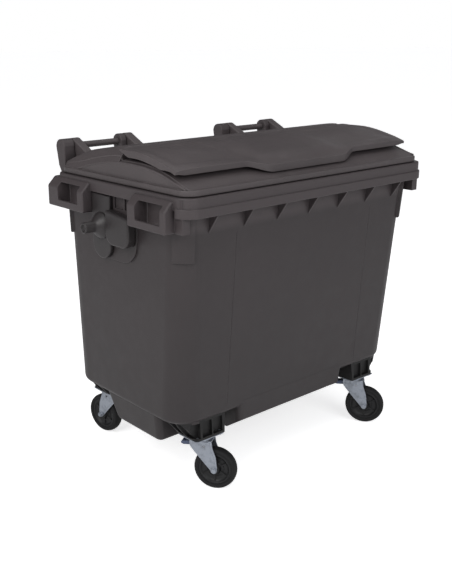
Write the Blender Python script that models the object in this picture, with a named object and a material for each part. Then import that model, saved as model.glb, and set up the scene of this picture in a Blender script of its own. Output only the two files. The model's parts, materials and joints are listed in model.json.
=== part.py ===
"""Four-wheeled refuse container, about 660 litres: moulded body, main lid, inner flap,
lifting trunnions and four swivel castors.

Metres, +Z up. The origin is on the ground under the middle of the overall box.
-Y is the front (the comb rim), +Y the hinge side, +X and -X the trunnion ends.
Shapes are written with y measured back from the front face of the rim and z measured
from a datum LIFT above the ground. part() moves them to the ground frame.
"side" is -1 for the left (-X) and 1 for the right (+X).
"""
import math

import bpy
import bmesh
from mathutils import Matrix, Vector

# ---------------------------------------------------------------- driving dimensions
LIFT = 0.020              # height of the drawing datum above the ground
WALL = 0.005              # moulded wall thickness
CLEAR = 0.0004            # fit between touching pieces

RIM_HALF = 0.611          # half length of the rim
RIM_DEPTH = 0.776         # front to back over the rim
RIM_TOP = 1.091
RIM_R = 0.058             # corner radius of the rim in plan
BAND_PROUD = 0.005        # how far the lower front band stands out

# half x, front y, back y, corner radius, z
TUB_TOP = (0.589, 0.045, 0.7585, 0.082, 1.040)
TUB_LOW = (0.572, 0.097, 0.752, 0.097, 0.272)
FLOOR_Z = 0.262           # underside of the raised floor
SUMP_Z = 0.153            # underside of the sump

CASTOR_X = 0.424
CASTOR_FRONT = 0.150      # y of the front swivel axes
CASTOR_BACK = 0.700
PLATE_Z = 0.192           # underside of the moulded castor mounts
STUD_X, STUD_Y = 0.0525, 0.040    # stud places from the swivel axis
WHEEL_R = 0.080
TRAIL = 0.055
FRONT_TURN = math.radians(-57.0)  # castors stand turned this far from trailing along +X
REAR_TURN = math.radians(100.0)

HINGE_Y, HINGE_Z = 0.810, 1.175   # lid hinge axis
HINGE = (0, HINGE_Y, HINGE_Z)
HINGE_R = 0.0125
LUG_R = 0.029
LUG_SHIFT = 0.001         # the body lugs' centre is this far behind the hinge axis
FLAP_Y, FLAP_Z = 0.376, 1.2045    # inner flap hinge axis
FLAP_HINGE = (0, FLAP_Y, FLAP_Z)
FLAP_HINGES = (-0.40, 0.40)       # middles of the two flap hinges
FLAP_PIN_R = 0.0025

# rear handle loops: left ends, then spans of the lugs measured from there
LOOP_STARTS = (-0.558, 0.240)
BODY_LUGS = ((0.0, 0.048), (0.2635, 0.2915))
LID_LUGS = ((0.0495, 0.0845), (0.293, 0.332))

TRUNNION_Y, TRUNNION_Z = 0.475, 0.935
TRUNNION = (0, TRUNNION_Y, TRUNNION_Z)
TRUNNION_R = 0.020
TRUNNION_TIP = 0.685
SPIGOT_R = 0.015
PAD_X = 0.5925            # face of the wall pad behind the trunnion bracket

DRAIN_Y = 0.620
DRAIN = (0, DRAIN_Y, 0)

Y_MID = (HINGE_Y + LUG_SHIFT + LUG_R - BAND_PROUD) / 2

X_AXIS, Y_AXIS, Z_AXIS = (1, 0, 0), (0, 1, 0), (0, 0, 1)

# ---------------------------------------------------------------- start from nothing
for old in list(bpy.data.objects):
    bpy.data.objects.remove(old, do_unlink=True)

SCENE = bpy.context.scene.collection


def material(name, colour, roughness, metallic=0.0):
    mat = bpy.data.materials.new(name)
    mat.use_nodes = True
    shader = mat.node_tree.nodes["Principled BSDF"]
    shader.inputs["Base Color"].default_value = (*colour, 1.0)
    shader.inputs["Roughness"].default_value = roughness
    shader.inputs["Metallic"].default_value = metallic
    return mat


BODY = material("body_plastic", colour=(0.075, 0.068, 0.070), roughness=0.45)
LID = material("lid_plastic", colour=(0.090, 0.082, 0.083), roughness=0.42)
DARK = material("trunnion_plastic", colour=(0.050, 0.048, 0.048), roughness=0.42)
ZINC = material("zinc", colour=(0.62, 0.65, 0.70), roughness=0.32, metallic=0.9)
STEEL = material("steel", colour=(0.50, 0.50, 0.52), roughness=0.35, metallic=0.95)
CORE = material("wheel_core", colour=(0.022, 0.022, 0.023), roughness=0.5)
RUBBER = material("tyre_rubber", colour=(0.015, 0.015, 0.016), roughness=0.7)
PEDAL = material("pedal_plastic", colour=(0.10, 0.12, 0.20), roughness=0.4)
SEAL = material("seal_rubber", colour=(0.02, 0.02, 0.02), roughness=0.8)


# ---------------------------------------------------------------- outlines
def rounded_rect(half, front, back, radius, z, steps=5):
    """A rounded rectangle in plan, centred on x = 0."""
    corners = ((half - radius, back - radius, 0), (radius - half, back - radius, 90),
               (radius - half, front + radius, 180), (half - radius, front + radius, 270))
    out = []
    for x, y, start in corners:
        for i in range(steps + 1):
            angle = math.radians(start + 90 * i / steps)
            out.append((x + radius * math.cos(angle), y + radius * math.sin(angle), z))
    return out


def arc(across, up, radius, steps, start, sweep):
    """Points of an arc in a two-axis profile; angles in degrees."""
    angles = [math.radians(start + sweep * i / steps) for i in range(steps + 1)]
    return [(across + radius * math.cos(a), up + radius * math.sin(a)) for a in angles]


def span(side, inner, outer):
    """The two x values, smaller first, of a piece on one side."""
    return sorted((side * inner, side * outer))


def mirrored(profile, side):
    return [(side * x, z) for x, z in profile]


def lowered(points, drop):
    return [(y, z - drop) for y, z in points]


def height(points, y):
    """The height at y of a polyline that runs front to back."""
    for (y_a, z_a), (y_b, z_b) in zip(points, points[1:]):
        if y <= y_b and y_b > y_a:
            return z_a + (z_b - z_a) * (y - y_a) / (y_b - y_a)
    return points[-1][1]


# ---------------------------------------------------------------- solids
def loft(rings):
    """A closed solid through rings of equal length, capped at both ends."""
    solid = bmesh.new()
    made = [[solid.verts.new(point) for point in ring] for ring in rings]
    count = len(made[0])
    for low, high in zip(made, made[1:]):
        for i in range(count):
            j = (i + 1) % count
            solid.faces.new((low[i], low[j], high[j], high[i]))
    solid.faces.new(made[0][::-1])
    solid.faces.new(made[-1])
    bmesh.ops.recalc_face_normals(solid, faces=solid.faces)
    return solid


def prism_x(profile, left, right):
    return loft([[(x, y, z) for y, z in profile] for x in (left, right)])


def prism_y(profile, front, back):
    return loft([[(x, y, z) for x, z in profile] for y in (front, back)])


def prism_z(half, front, back, radius, low, high):
    return loft([rounded_rect(half, front, back, radius, z) for z in (low, high)])


def taper(*ends):
    """A box with a different rectangle (left, right, front, back, z) at each end."""
    return loft([[(left, front, z), (right, front, z), (right, back, z), (left, back, z)]
                 for left, right, front, back, z in ends])


def box(left, right, front, back, low, high):
    return taper((left, right, front, back, low), (left, right, front, back, high))


def polar(axis, centre, count):
    """A function giving the point at a distance along the axis, a radius and an angle step."""
    axis = Vector(axis).normalized()
    up = Vector((0, 0, 1)) if abs(axis.z) < 0.9 else Vector((1, 0, 0))
    first = up.cross(axis).cross(axis).normalized()
    second = axis.cross(first)
    centre = Vector(centre)

    def point(distance, radius, step):
        angle = 2 * math.pi * step / count
        outward = first * math.cos(angle) + second * math.sin(angle)
        return centre + axis * distance + outward * radius
    return point


def turned(profile, axis, centre, count):
    """A solid of revolution with flat ends: profile is (distance along the axis, radius)."""
    point = polar(axis, centre, count)
    return loft([[point(distance, radius, i) for i in range(count)]
                 for distance, radius in profile])


def rod(start, end, radius, axis, centre, count):
    return turned([(start, radius), (end, radius)], axis, centre, count)


def ring_solid(profile, axis, centre, count):
    """A revolved closed profile that doesn't touch the axis."""
    point = polar(axis, centre, count)
    solid = bmesh.new()
    made = [[solid.verts.new(point(distance, radius, i)) for distance, radius in profile]
            for i in range(count)]
    for i in range(count):
        here, following = made[i], made[(i + 1) % count]
        for k in range(len(profile)):
            m = (k + 1) % len(profile)
            solid.faces.new((here[k], here[m], following[m], following[k]))
    bmesh.ops.recalc_face_normals(solid, faces=solid.faces)
    return solid


def upright_edges(solid):
    out = []
    for edge in solid.edges:
        along = edge.verts[0].co - edge.verts[1].co
        if abs(along.z) > 0.6 * along.length:
            out.append(edge)
    return out


def edges_below(solid, z):
    return [edge for edge in solid.edges if all(vert.co.z < z for vert in edge.verts)]


def soften(solid, width, edges, segments):
    bmesh.ops.bevel(solid, geom=edges, offset=width, segments=segments, profile=0.5,
                    affect="EDGES", clamp_overlap=True)


# ---------------------------------------------------------------- Booleans and objects
def helper(solid, name):
    """A hidden object that a Boolean reads."""
    mesh = bpy.data.meshes.new(name)
    solid.to_mesh(mesh)
    solid.free()
    obj = bpy.data.objects.new(name, mesh)
    SCENE.objects.link(obj)
    obj.hide_render = True
    return obj


def discard(obj):
    mesh = obj.data
    bpy.data.objects.remove(obj, do_unlink=True)
    bpy.data.meshes.remove(mesh)


def combine(base, others, operation):
    """base with all the others applied, one exact Boolean each. Returns a bmesh."""
    work = helper(base, "work")
    for other in others:
        operand = helper(other, "operand")
        mod = work.modifiers.new("combine", "BOOLEAN")
        mod.operation = operation
        mod.solver = "EXACT"
        mod.object = operand
        bpy.context.view_layer.update()
        graph = bpy.context.evaluated_depsgraph_get()
        done = bpy.data.meshes.new_from_object(work.evaluated_get(graph))
        work.modifiers.clear()
        before, work.data = work.data, done
        bpy.data.meshes.remove(before)
        discard(operand)
    solid = bmesh.new()
    solid.from_mesh(work.data)
    discard(work)
    return solid


def add(base, *others):
    return combine(base, others, "UNION")


def cut(base, *others):
    return combine(base, others, "DIFFERENCE")


def common(base, other):
    return combine(base, [other], "INTERSECT")


def part(name, solid, mat, origin=(0, 0, 0), smooth=35):
    """The named piece, moved to the ground frame, with its own origin at origin.

    Edges sharper than smooth degrees stay sharp.
    """
    origin = Vector(origin)
    for vert in solid.verts:
        vert.co = vert.co - origin
    bmesh.ops.remove_doubles(solid, verts=solid.verts, dist=1e-6)
    mesh = bpy.data.meshes.new(name)
    solid.to_mesh(mesh)
    solid.free()
    mesh.materials.append(mat)
    mesh.shade_smooth()
    mesh.set_sharp_from_angle(angle=math.radians(smooth))
    obj = bpy.data.objects.new(name, mesh)
    SCENE.objects.link(obj)
    obj.location = origin + Vector((0, -Y_MID, LIFT))


# ---------------------------------------------------------------- tub and sump
FLOOR_FILLET = 0.022
SUMP_TOP = FLOOR_Z + 0.012


def section(z, grow=0.0):
    """The tub's outline at height z: half x, front y, back y, corner radius."""
    t = (z - TUB_LOW[4]) / (TUB_TOP[4] - TUB_LOW[4])
    half, front, back, radius = (a + (b - a) * t for a, b in zip(TUB_LOW[:4], TUB_TOP[:4]))
    return half + grow, front - grow, back + grow, radius + grow


def tub(grow, bottom, top, fillet):
    """The tub as a solid block: walls with draft and a rounded bottom edge."""
    rings = []
    for i in range(4):
        angle = math.radians(90 * i / 3)
        inset = fillet * (1 - math.sin(angle))
        z = bottom + fillet * (1 - math.cos(angle))
        half, front, back, radius = section(z, grow)
        rings.append(rounded_rect(half - inset, front + inset, back - inset, radius - inset, z))
    rings.append(rounded_rect(*section(top, grow), top))
    return loft(rings)


def sump(grow, bottom, upright_r, bottom_r, segments):
    """The cross-shaped well between the castor mounts: two tapered bars."""
    across = taper((-0.543 - grow, 0.543 + grow, 0.2425 - grow, 0.515 + grow, bottom),
                   (-0.556 - grow, 0.556 + grow, 0.2385 - grow, 0.575 + grow, SUMP_TOP))
    # the other bar comes up to the front wall, and its lower front edge is cut back
    top = SUMP_TOP + 0.016
    low = bottom - 0.0004
    profile = [(0.0952 - grow, top), (0.1005 - grow, 0.212 - 0.6 * grow),
               (0.184 - 1.2 * grow, low), (0.679 + grow, low),
               (0.723 + grow, SUMP_TOP), (0.723 + grow, top)]

    def half_width(z):
        return 0.276 + grow + 0.012 * (z - bottom) / (SUMP_TOP - bottom)

    along = loft([[(side * half_width(z), y, z) for y, z in profile] for side in (-1, 1)])
    for bar in (across, along):
        soften(bar, upright_r, upright_edges(bar), segments)
        soften(bar, bottom_r, edges_below(bar, bottom + 0.001), segments)
    return [across, along]


# ---------------------------------------------------------------- castor mounts
MOUNT_LOW_HALF = 0.4895   # half x over the mounts at PLATE_Z
MOUNT_TOP_HALF = 0.5640
MOUNT_REACH_X = 0.0655    # inner faces from the swivel axis
MOUNT_REACH_Y = 0.053
MOUNT_DRAFT_X = 0.010     # how much the inner faces spread towards the top
MOUNT_DRAFT_Y = 0.014
POCKET_DEPTH = 0.014
POCKET_LOW = PLATE_Z + 0.007


def castor_mount(side, y):
    """The block under one corner: outer faces slope in from the wall, inner ones less so."""
    outer = loft([rounded_rect(MOUNT_LOW_HALF, 0.097, 0.753, 0.022, PLATE_Z, 4),
                  rounded_rect(MOUNT_TOP_HALF, 0.1045, 0.7455, 0.088, FLOOR_Z + 0.0195, 4)])
    ends = []
    for draft_x, draft_y, z in ((0, 0, PLATE_Z - 0.01),
                                (MOUNT_DRAFT_X, MOUNT_DRAFT_Y, FLOOR_Z + 0.032)):
        if y == CASTOR_FRONT:
            front, back = -0.1, y + MOUNT_REACH_Y + draft_y
        else:
            front, back = y - MOUNT_REACH_Y - draft_y, 0.9
        ends.append((*span(side, CASTOR_X - MOUNT_REACH_X - draft_x, 0.7), front, back, z))
    return common(outer, taper(*ends))


def mount_pockets(side, y):
    """Pockets in the outer faces of a castor mount, which leave upright ribs."""
    out = []
    slope = (MOUNT_TOP_HALF - MOUNT_LOW_HALF) / (FLOOR_Z + 0.022 - PLATE_Z)
    for k in range(2):
        front = y - 0.040 + k * 0.043
        ends = []
        for z in (POCKET_LOW, FLOOR_Z - 0.002):
            face = MOUNT_LOW_HALF + slope * (z - PLATE_Z)
            ends.append((*span(side, face - POCKET_DEPTH, face + 0.03), front, front + 0.036, z))
        out.append(taper(*ends))
    depth = (0.05, 0.110) if y == CASTOR_FRONT else (0.740, 0.80)
    for k in range(2):
        inner = CASTOR_X - 0.056 + k * 0.050
        out.append(box(*span(side, inner, inner + 0.043), *depth, POCKET_LOW, FLOOR_Z - 0.006))
    return out


def mount_holes(side, y):
    """Four stud holes and the kingpin recess in the underside of a castor mount."""
    bottom = PLATE_Z - 0.01
    holes = [rod(bottom, PLATE_Z + 0.026, 0.0055, Z_AXIS, (side * CASTOR_X + x, y + stud_y, 0), 6)
             for x in (-STUD_X, STUD_X) for stud_y in (-STUD_Y, STUD_Y)]
    holes.append(rod(bottom, PLATE_Z + 0.014, 0.013, Z_AXIS, (side * CASTOR_X, y, 0), 12))
    return holes


# ---------------------------------------------------------------- rim and its fittings
SKIRT_BOTTOM = RIM_TOP - 0.041    # bottom of the rim's skirt
BAND_TOP = 1.0575         # lower front band
BAND_LOW = 1.025
BAND_BACK = 0.052         # the band wraps round the corners this far
COMB_PITCH = 0.158
COMB_HALF = 0.003         # half thickness of a comb rib

HANDLES = ((0.065, 0.267), (0.5335, 0.766))          # y spans of the side handles
HANDLE_WINDOWS = ((0.087, 0.219), (0.572, 0.689))    # y spans of their openings
# (x, z) outlines on the +X side
HANDLE_OUTLINE = [(0.575, 0.973), (0.647, 0.973), (0.647, 1.050), (0.6185, 1.079),
                  (0.575, 1.079)]
WINDOW_OUTLINE = [(0.5925, 0.90), (0.633, 0.90), (0.633, 1.002), (0.70, 1.002),
                  (0.70, 1.042), (0.62, 1.066), (0.5925, 1.066)]

PAD_R = 0.082             # lower corner radius of the trunnion pad
PAD_ARCS_Y = (0.372, 0.4585)      # centres of its front and back corners
PAD_ARCS_Z = 0.897

POST_PROUD = 0.0123       # corner posts stand this far out of the tub
POST_DEPTH = 0.030


def rim_prism(inset, low, high):
    """A block with the rim's plan, shrunk by inset."""
    return prism_z(RIM_HALF - inset, inset, RIM_DEPTH - inset, RIM_R - inset, low, high)


def rim():
    return cut(rim_prism(0.0, SKIRT_BOTTOM, RIM_TOP), rim_prism(0.006, 0.9, RIM_TOP - 0.007))


def front_band():
    return cut(rim_prism(-BAND_PROUD, BAND_LOW, BAND_TOP), rim_prism(0.004, 0.9, 1.2),
               box(-1, 1, BAND_BACK, 1, 0.9, 1.2))


def comb_rib(x):
    top = RIM_TOP - 0.004
    outline = [(0.003, top), (0.003, BAND_LOW + 0.002), (0.0525, 0.955), (0.062, 0.955),
               (0.062, top)]
    return prism_x(outline, x - COMB_HALF, x + COMB_HALF)


def trunnion_pad(side):
    front, back = PAD_ARCS_Y
    top = RIM_TOP - 0.005
    outline = ([(front - PAD_R, top)] + arc(front, PAD_ARCS_Z, PAD_R, 5, 180, 90)
               + arc(back, PAD_ARCS_Z, PAD_R, 5, 270, 90) + [(back + PAD_R, top)])
    return prism_x(outline, *span(side, 0.577, PAD_X))


def corner_post(side, end):
    """A post below the rim at one corner; end is -1 at the front and 1 at the back."""
    rings = []
    for z in (0.860, 1.070):
        half, front, back, radius = section(z, POST_PROUD)
        x = half - radius
        y = back - radius if end > 0 else front + radius
        inner = radius - POST_DEPTH
        places = [(radius, 23 + 46 * i / 6) for i in range(7)] + [(inner, 72), (inner, 20)]
        ring = []
        for reach, degrees in places:
            angle = math.radians(degrees)
            ring.append((side * (x + reach * math.cos(angle)),
                         y + end * reach * math.sin(angle), z))
        if side == end:
            ring.reverse()  # so that all four posts wind the same way
        rings.append(ring)
    return loft(rings)


def body_lug(left, right):
    """A lug that rises behind the lid's edge and is rounded round the hinge axis."""
    outline = arc(HINGE_Y + LUG_SHIFT, HINGE_Z, LUG_R, 8, -20, 190)
    outline += [(0.7795, 1.135), (0.7795, 1.088), (0.752, 1.088), (0.752, 1.030),
                (0.774, 1.030), (0.800, 1.062), (0.826, 1.105)]
    return prism_x(outline, left, right)


# ---------------------------------------------------------------- body
def body_additions():
    pieces = sump(0.0, SUMP_Z, 0.022, 0.016, 2)
    pieces += [rim(), front_band()]
    pieces += [comb_rib(k * COMB_PITCH) for k in range(-3, 4)]
    for side in (-1, 1):
        for front, back in HANDLES:
            pieces.append(prism_y(mirrored(HANDLE_OUTLINE, side), front, back))
        # skirt between the front handle and the front corner
        pieces.append(box(*span(side, 0.576, 0.606), 0.026, 0.0705, 0.9745, RIM_TOP - 0.0045))
        pieces.append(trunnion_pad(side))
    pieces += [corner_post(side, end) for side in (-1, 1) for end in (-1, 1)]
    for start in LOOP_STARTS:
        pieces += [body_lug(start + left, start + right) for left, right in BODY_LUGS]
    pieces += [castor_mount(side, y) for side in (-1, 1) for y in (CASTOR_FRONT, CASTOR_BACK)]
    return pieces


def body_cutters():
    cutters = [tub(-WALL, FLOOR_Z + WALL, RIM_TOP + 0.02, FLOOR_FILLET - WALL * 0.5)]
    cutters += sump(-WALL, SUMP_Z + WALL, 0.018, 0.012, 1)
    for side in (-1, 1):
        for front, back in HANDLE_WINDOWS:
            cutters.append(prism_y(mirrored(WINDOW_OUTLINE, side), front, back))
    # hinge bar holes: blind in each loop's left lug, right through the other
    for start in LOOP_STARTS:
        cutters.append(rod(start + BODY_LUGS[0][1] - 0.020, start + BODY_LUGS[1][1] + 0.010,
                           HINGE_R + CLEAR, X_AXIS, HINGE, 16))
    for side in (-1, 1):
        for y in (CASTOR_FRONT, CASTOR_BACK):
            cutters += mount_holes(side, y)
    # drain hole through the sump floor
    cutters.append(rod(SUMP_Z - 0.02, SUMP_Z + 0.03, 0.0205, Z_AXIS, DRAIN, 16))
    for side in (-1, 1):
        # trunnion spigot hole, right through the side wall
        cutters.append(rod(0.50, 0.62, SPIGOT_R + CLEAR, (side, 0, 0), TRUNNION, 16))
        for y in (CASTOR_FRONT, CASTOR_BACK):
            cutters += mount_pockets(side, y)
    return cutters


def body():
    outside = add(tub(0.0, FLOOR_Z, RIM_TOP, FLOOR_FILLET), *body_additions())
    return cut(outside, *body_cutters())


part("body_shell", body(), BODY)

# ---------------------------------------------------------------- main lid
LID_HALF, LID_R = 0.585, 0.047
LID_FRONT, LID_BACK = 0.022, 0.762
SEAT_HALF = 0.571         # half length of the recess for the inner flap
SEAT_BACK = 0.3895
HOLLOW_HALF = 0.566
LEAN_HALF = 0.538         # half length of the roof above the leaning ends

# outside of the lid's middle section, front to back: y, z
RIDGE = [(LID_FRONT, 1.100), (LID_FRONT, 1.112), (0.028, 1.120), (0.040, 1.127),
         (0.089, 1.1465), (0.125, 1.160), (0.165, 1.172), (0.215, 1.181), (0.272, 1.186),
         (0.330, 1.186), (SEAT_BACK, 1.183), (SEAT_BACK, 1.2115), (0.395, 1.2145),
         (0.440, 1.2115), (0.504, 1.201), (0.570, 1.190), (0.633, 1.1775), (0.698, 1.157),
         (0.745, 1.140), (LID_BACK, 1.132), (LID_BACK, 1.100)]
# surface of the recess under the inner flap: y, z
SEAT = [(0.0, 1.1125), (0.040, 1.117), (0.089, 1.134), (0.125, 1.148), (0.165, 1.159),
        (0.215, 1.169), (0.272, 1.174), (0.330, 1.174), (SEAT_BACK, 1.172)]
# top edge of the end walls: y, z
END_ARC = [(0.000, 1.1120), (0.0446, 1.1160), (0.0834, 1.127), (0.159, 1.1485),
           (0.266, 1.162), (0.380, 1.163), (0.4695, 1.156), (0.5655, 1.137),
           (0.640, 1.1165), (0.687, 1.1137), (0.790, 1.1137)]
# y of the sections through the block that trims the ends
END_STATIONS = (0.0, 0.0446, 0.0834, 0.125, 0.159, 0.215, 0.266, 0.330, 0.380, 0.3886, 0.3888,
                0.3955, 0.420, 0.440, 0.4695, 0.504, 0.5655, 0.600, 0.640, 0.687, 0.745, 0.790)


def lid_ends(inset=0.0):
    """The block that trims the roof: each end wall stops at an arc, the roof leans in above."""
    rings = []
    wide = LID_HALF + 0.0001 - inset
    narrow = LEAN_HALF - inset
    for y in END_STATIONS:
        edge = height(END_ARC, y)
        top = max(height(RIDGE[1:-1], max(y, 0.0221) + 0.0008), edge) + 0.004
        low = edge - inset * 0.6
        rings.append([(-wide, y, 1.0), (-wide, y, low), (-narrow, y, top),
                      (narrow, y, top), (wide, y, low), (wide, y, 1.0)])
    return loft(rings)


def lid_lug(left, right):
    """An arm of the lid: it rises out of the roof and goes round the hinge bar."""
    outline = arc(HINGE_Y, HINGE_Z, 0.0295, 8, -65, 165)
    outline += [(0.735, 1.172), (0.700, 1.150), (0.700, 1.130), (0.757, 1.130),
                (0.757, 1.118), (0.790, 1.118)]
    return prism_x(outline, left, right)


def flap_ear(left, right):
    outline = arc(FLAP_Y, FLAP_Z, 0.0055, 8, -100, 280) + [(0.350, 1.168), (0.362, 1.168)]
    return prism_x(outline, left, right)


def lid_hollow():
    front, back = LID_FRONT + WALL, LID_BACK - WALL
    outline = ([(front, 1.05), (front, 1.111)] + lowered(SEAT[1:-1], WALL)
               + [(SEAT_BACK + WALL, 1.167), (SEAT_BACK + WALL, 1.2075)]
               + lowered(RIDGE[13:19], WALL) + [(back, 1.128), (back, 1.05)])
    hollow = common(prism_x(outline, -HOLLOW_HALF, HOLLOW_HALF),
                    prism_z(HOLLOW_HALF, front, back, LID_R - WALL, 1.0, 1.3))
    return common(hollow, lid_ends(0.0065))


def lid():
    flange = prism_z(0.596, 0.012, 0.764, 0.052, 1.095, 1.113)
    dome = common(prism_x(RIDGE, -LID_HALF, LID_HALF),
                  prism_z(LID_HALF, LID_FRONT, LID_BACK, LID_R, 1.05, 1.3))
    dome = common(dome, lid_ends())
    seat = prism_x(SEAT + [(SEAT_BACK, 1.30), (0.0, 1.30)], -SEAT_HALF, SEAT_HALF)
    fittings = [flap_ear(x + left, x + left + 0.010)
                for x in FLAP_HINGES for left in (-0.026, 0.016)]
    fittings += [lid_lug(start + left, start + right)
                 for start in LOOP_STARTS for left, right in LID_LUGS]
    solid = add(cut(add(dome, flange), seat), *fittings)
    # the hollow, the opening under the flap and the recess inside the flange
    cutters = [lid_hollow(), prism_z(0.500, 0.120, 0.345, 0.030, 1.0, 1.3),
               prism_z(0.588, 0.020, 0.756, 0.044, 1.0, 1.104)]
    for start in LOOP_STARTS:
        cutters.append(rod(start + LID_LUGS[0][0] - 0.01, start + LID_LUGS[1][1] - 0.008,
                           HINGE_R + 0.0008, X_AXIS, HINGE, 16))
    for x in FLAP_HINGES:
        cutters.append(rod(x - 0.0235, x + 0.0235, FLAP_PIN_R + CLEAR, X_AXIS, FLAP_HINGE, 8))
    return cut(solid, *cutters)


part("main_lid", lid(), LID, origin=HINGE)

# ---------------------------------------------------------------- inner flap
FLAP_HALF = 0.585
FLAP_BACK = 0.3845
FLAP_SKIN = 0.0045
FLAP_SEAM = 0.001         # narrow strip of faces next to the edge wall
FLAP_STEPS_X, FLAP_STEPS_Y = 18, 8
GRIP_HALF, GRIP_END = 0.184, 0.28  # the grip's full reach ends, and has faded out
# upper face of the flap, front to back: y, z
FLAP_LINE = [(0.052, 1.151), (0.085, 1.1655), (0.126, 1.1745), (0.179, 1.186),
             (0.233, 1.1965), (0.291, 1.204), (0.330, 1.208), (FLAP_BACK, 1.2125)]


def fraction(low, high, value):
    """0 below low, 1 above high, in proportion between."""
    return min(max((value - low) / (high - low), 0.0), 1.0)


def ramp(low, high, value):
    """0 below low, 1 above high, smooth between."""
    t = fraction(low, high, value)
    return t * t * (3 - 2 * t)


def flap_front(x):
    """y of the front lip: the grip in the middle reaches further forward."""
    return 0.052 + fraction(GRIP_HALF, GRIP_END, abs(x)) * 0.033


def flap_lip(x):
    """Height of the front lip's lower edge."""
    return 1.1265 + fraction(GRIP_HALF, GRIP_END, abs(x)) * 0.025


def flap_top(x, y):
    """Height of the flap's upper face: a raised middle, and raised front ends."""
    pillow = (0.010 * (1 - ramp(0.15, 0.29, abs(x))) * ramp(0.055, 0.14, y)
              * (1 - ramp(0.27, 0.37, y)))
    wing = 0.004 * ramp(0.20, 0.30, abs(x)) * (1 - ramp(0.085, 0.16, y))
    return height(FLAP_LINE, y) + pillow + wing


def flap_under(x, y, at_lip):
    """Height of the flap's underside; the lip and the two ends hang lower."""
    if at_lip:
        return flap_lip(x)
    at_end = abs(x) > FLAP_HALF - FLAP_SKIN - 0.0002
    z = flap_top(x, y) - (0.010 if at_end and y < 0.36 else FLAP_SKIN)
    return max(z, flap_lip(x)) if at_end and y < 0.2 else z


def flap_panel():
    edge = FLAP_HALF - FLAP_SKIN
    inner = edge - FLAP_SEAM
    xs = sorted([-inner + 2 * inner * i / FLAP_STEPS_X for i in range(FLAP_STEPS_X + 1)]
                + [-FLAP_HALF, -edge, edge, FLAP_HALF]
                + [-GRIP_HALF, GRIP_HALF, -GRIP_END, GRIP_END])
    solid = bmesh.new()
    top, low = [], []
    for x in xs:
        lip = flap_front(x)
        start = lip + FLAP_SKIN + FLAP_SEAM
        ys = [lip, lip + FLAP_SKIN] + [start + (FLAP_BACK - start) * j / FLAP_STEPS_Y
                                       for j in range(FLAP_STEPS_Y + 1)]
        top.append([solid.verts.new((x, y, flap_top(x, y))) for y in ys])
        low.append([solid.verts.new((x, y, flap_under(x, y, j < 2))) for j, y in enumerate(ys)])
    face = solid.faces.new
    columns, rows = len(xs), len(top[0])
    for i in range(columns - 1):
        for j in range(rows - 1):
            face((top[i][j], top[i + 1][j], top[i + 1][j + 1], top[i][j + 1]))
            face((low[i][j], low[i][j + 1], low[i + 1][j + 1], low[i + 1][j]))
    for i in range(columns - 1):
        face((top[i][0], low[i][0], low[i + 1][0], top[i + 1][0]))
        face((top[i][-1], top[i + 1][-1], low[i + 1][-1], low[i][-1]))
    for j in range(rows - 1):
        face((top[0][j], top[0][j + 1], low[0][j + 1], low[0][j]))
        face((top[-1][j], low[-1][j], low[-1][j + 1], top[-1][j + 1]))
    bmesh.ops.recalc_face_normals(solid, faces=solid.faces)
    return solid


def flap():
    knuckle = arc(FLAP_Y, FLAP_Z, 0.006, 6, -150, 210) + [(0.350, 1.2095), (0.340, 1.2080)]
    notch = arc(FLAP_Y, FLAP_Z, 0.0066, 8, -30, 210) + [(0.350, 1.196), (0.395, 1.196)]
    knuckles, cutters = [], []
    for x in FLAP_HINGES:
        knuckles.append(prism_x(knuckle, x - 0.0155, x + 0.0155))
        cutters.append(rod(x - 0.025, x + 0.025, FLAP_PIN_R + 0.0006, X_AXIS, FLAP_HINGE, 8))
        # room for the lid's ears on both sides of the knuckle
        cutters.append(prism_x(notch, x - 0.027, x - 0.0157))
        cutters.append(prism_x(notch, x + 0.0157, x + 0.027))
    return cut(add(flap_panel(), *knuckles), *cutters)


part("inner_flap", flap(), LID, origin=FLAP_HINGE)

# ---------------------------------------------------------------- hinge pins and bars
for x, label in zip(FLAP_HINGES, ("left", "right")):
    part(f"flap_hinge_pin_{label}",
         rod(x - 0.0232, x + 0.0232, FLAP_PIN_R, X_AXIS, FLAP_HINGE, 8),
         STEEL, origin=(x, FLAP_Y, FLAP_Z))


def hinge_bar(start):
    """The bar of a rear handle loop, with chamfered ends."""
    return turned([(start + 0.0285, HINGE_R - 0.001), (start + 0.0295, HINGE_R),
                   (start + 0.3215, HINGE_R), (start + 0.3225, HINGE_R - 0.001)],
                  X_AXIS, HINGE, 16)


for start, label in zip(LOOP_STARTS, ("left", "right")):
    part(f"lid_hinge_bar_{label}", hinge_bar(start), LID, origin=(start, HINGE_Y, HINGE_Z))

# ---------------------------------------------------------------- trunnions
# distance out from x = 0, radius
TRUNNION_PROFILE = [(0.5600, SPIGOT_R), (0.6094, SPIGOT_R), (0.6094, 0.047), (0.6170, 0.048),
                    (0.6320, 0.031), (0.6350, 0.0225), (0.6370, TRUNNION_R),
                    (TRUNNION_TIP - 0.002, TRUNNION_R), (TRUNNION_TIP, TRUNNION_R - 0.002),
                    (TRUNNION_TIP, 0.0125), (TRUNNION_TIP - 0.004, 0.0115)]
NUT_PROFILE = [(0.5700, SPIGOT_R + CLEAR), (0.5810, SPIGOT_R + CLEAR), (0.5810, 0.026),
               (0.5700, 0.0225)]


def tongue(y, radius, z, front_top, back_top, steps):
    """A (y, z) outline with upright sides and a half-round lower end centred on y, z."""
    return ([(y - radius, front_top)] + arc(y, z, radius, steps, 180, 180)
            + [(y + radius, back_top)])


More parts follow.
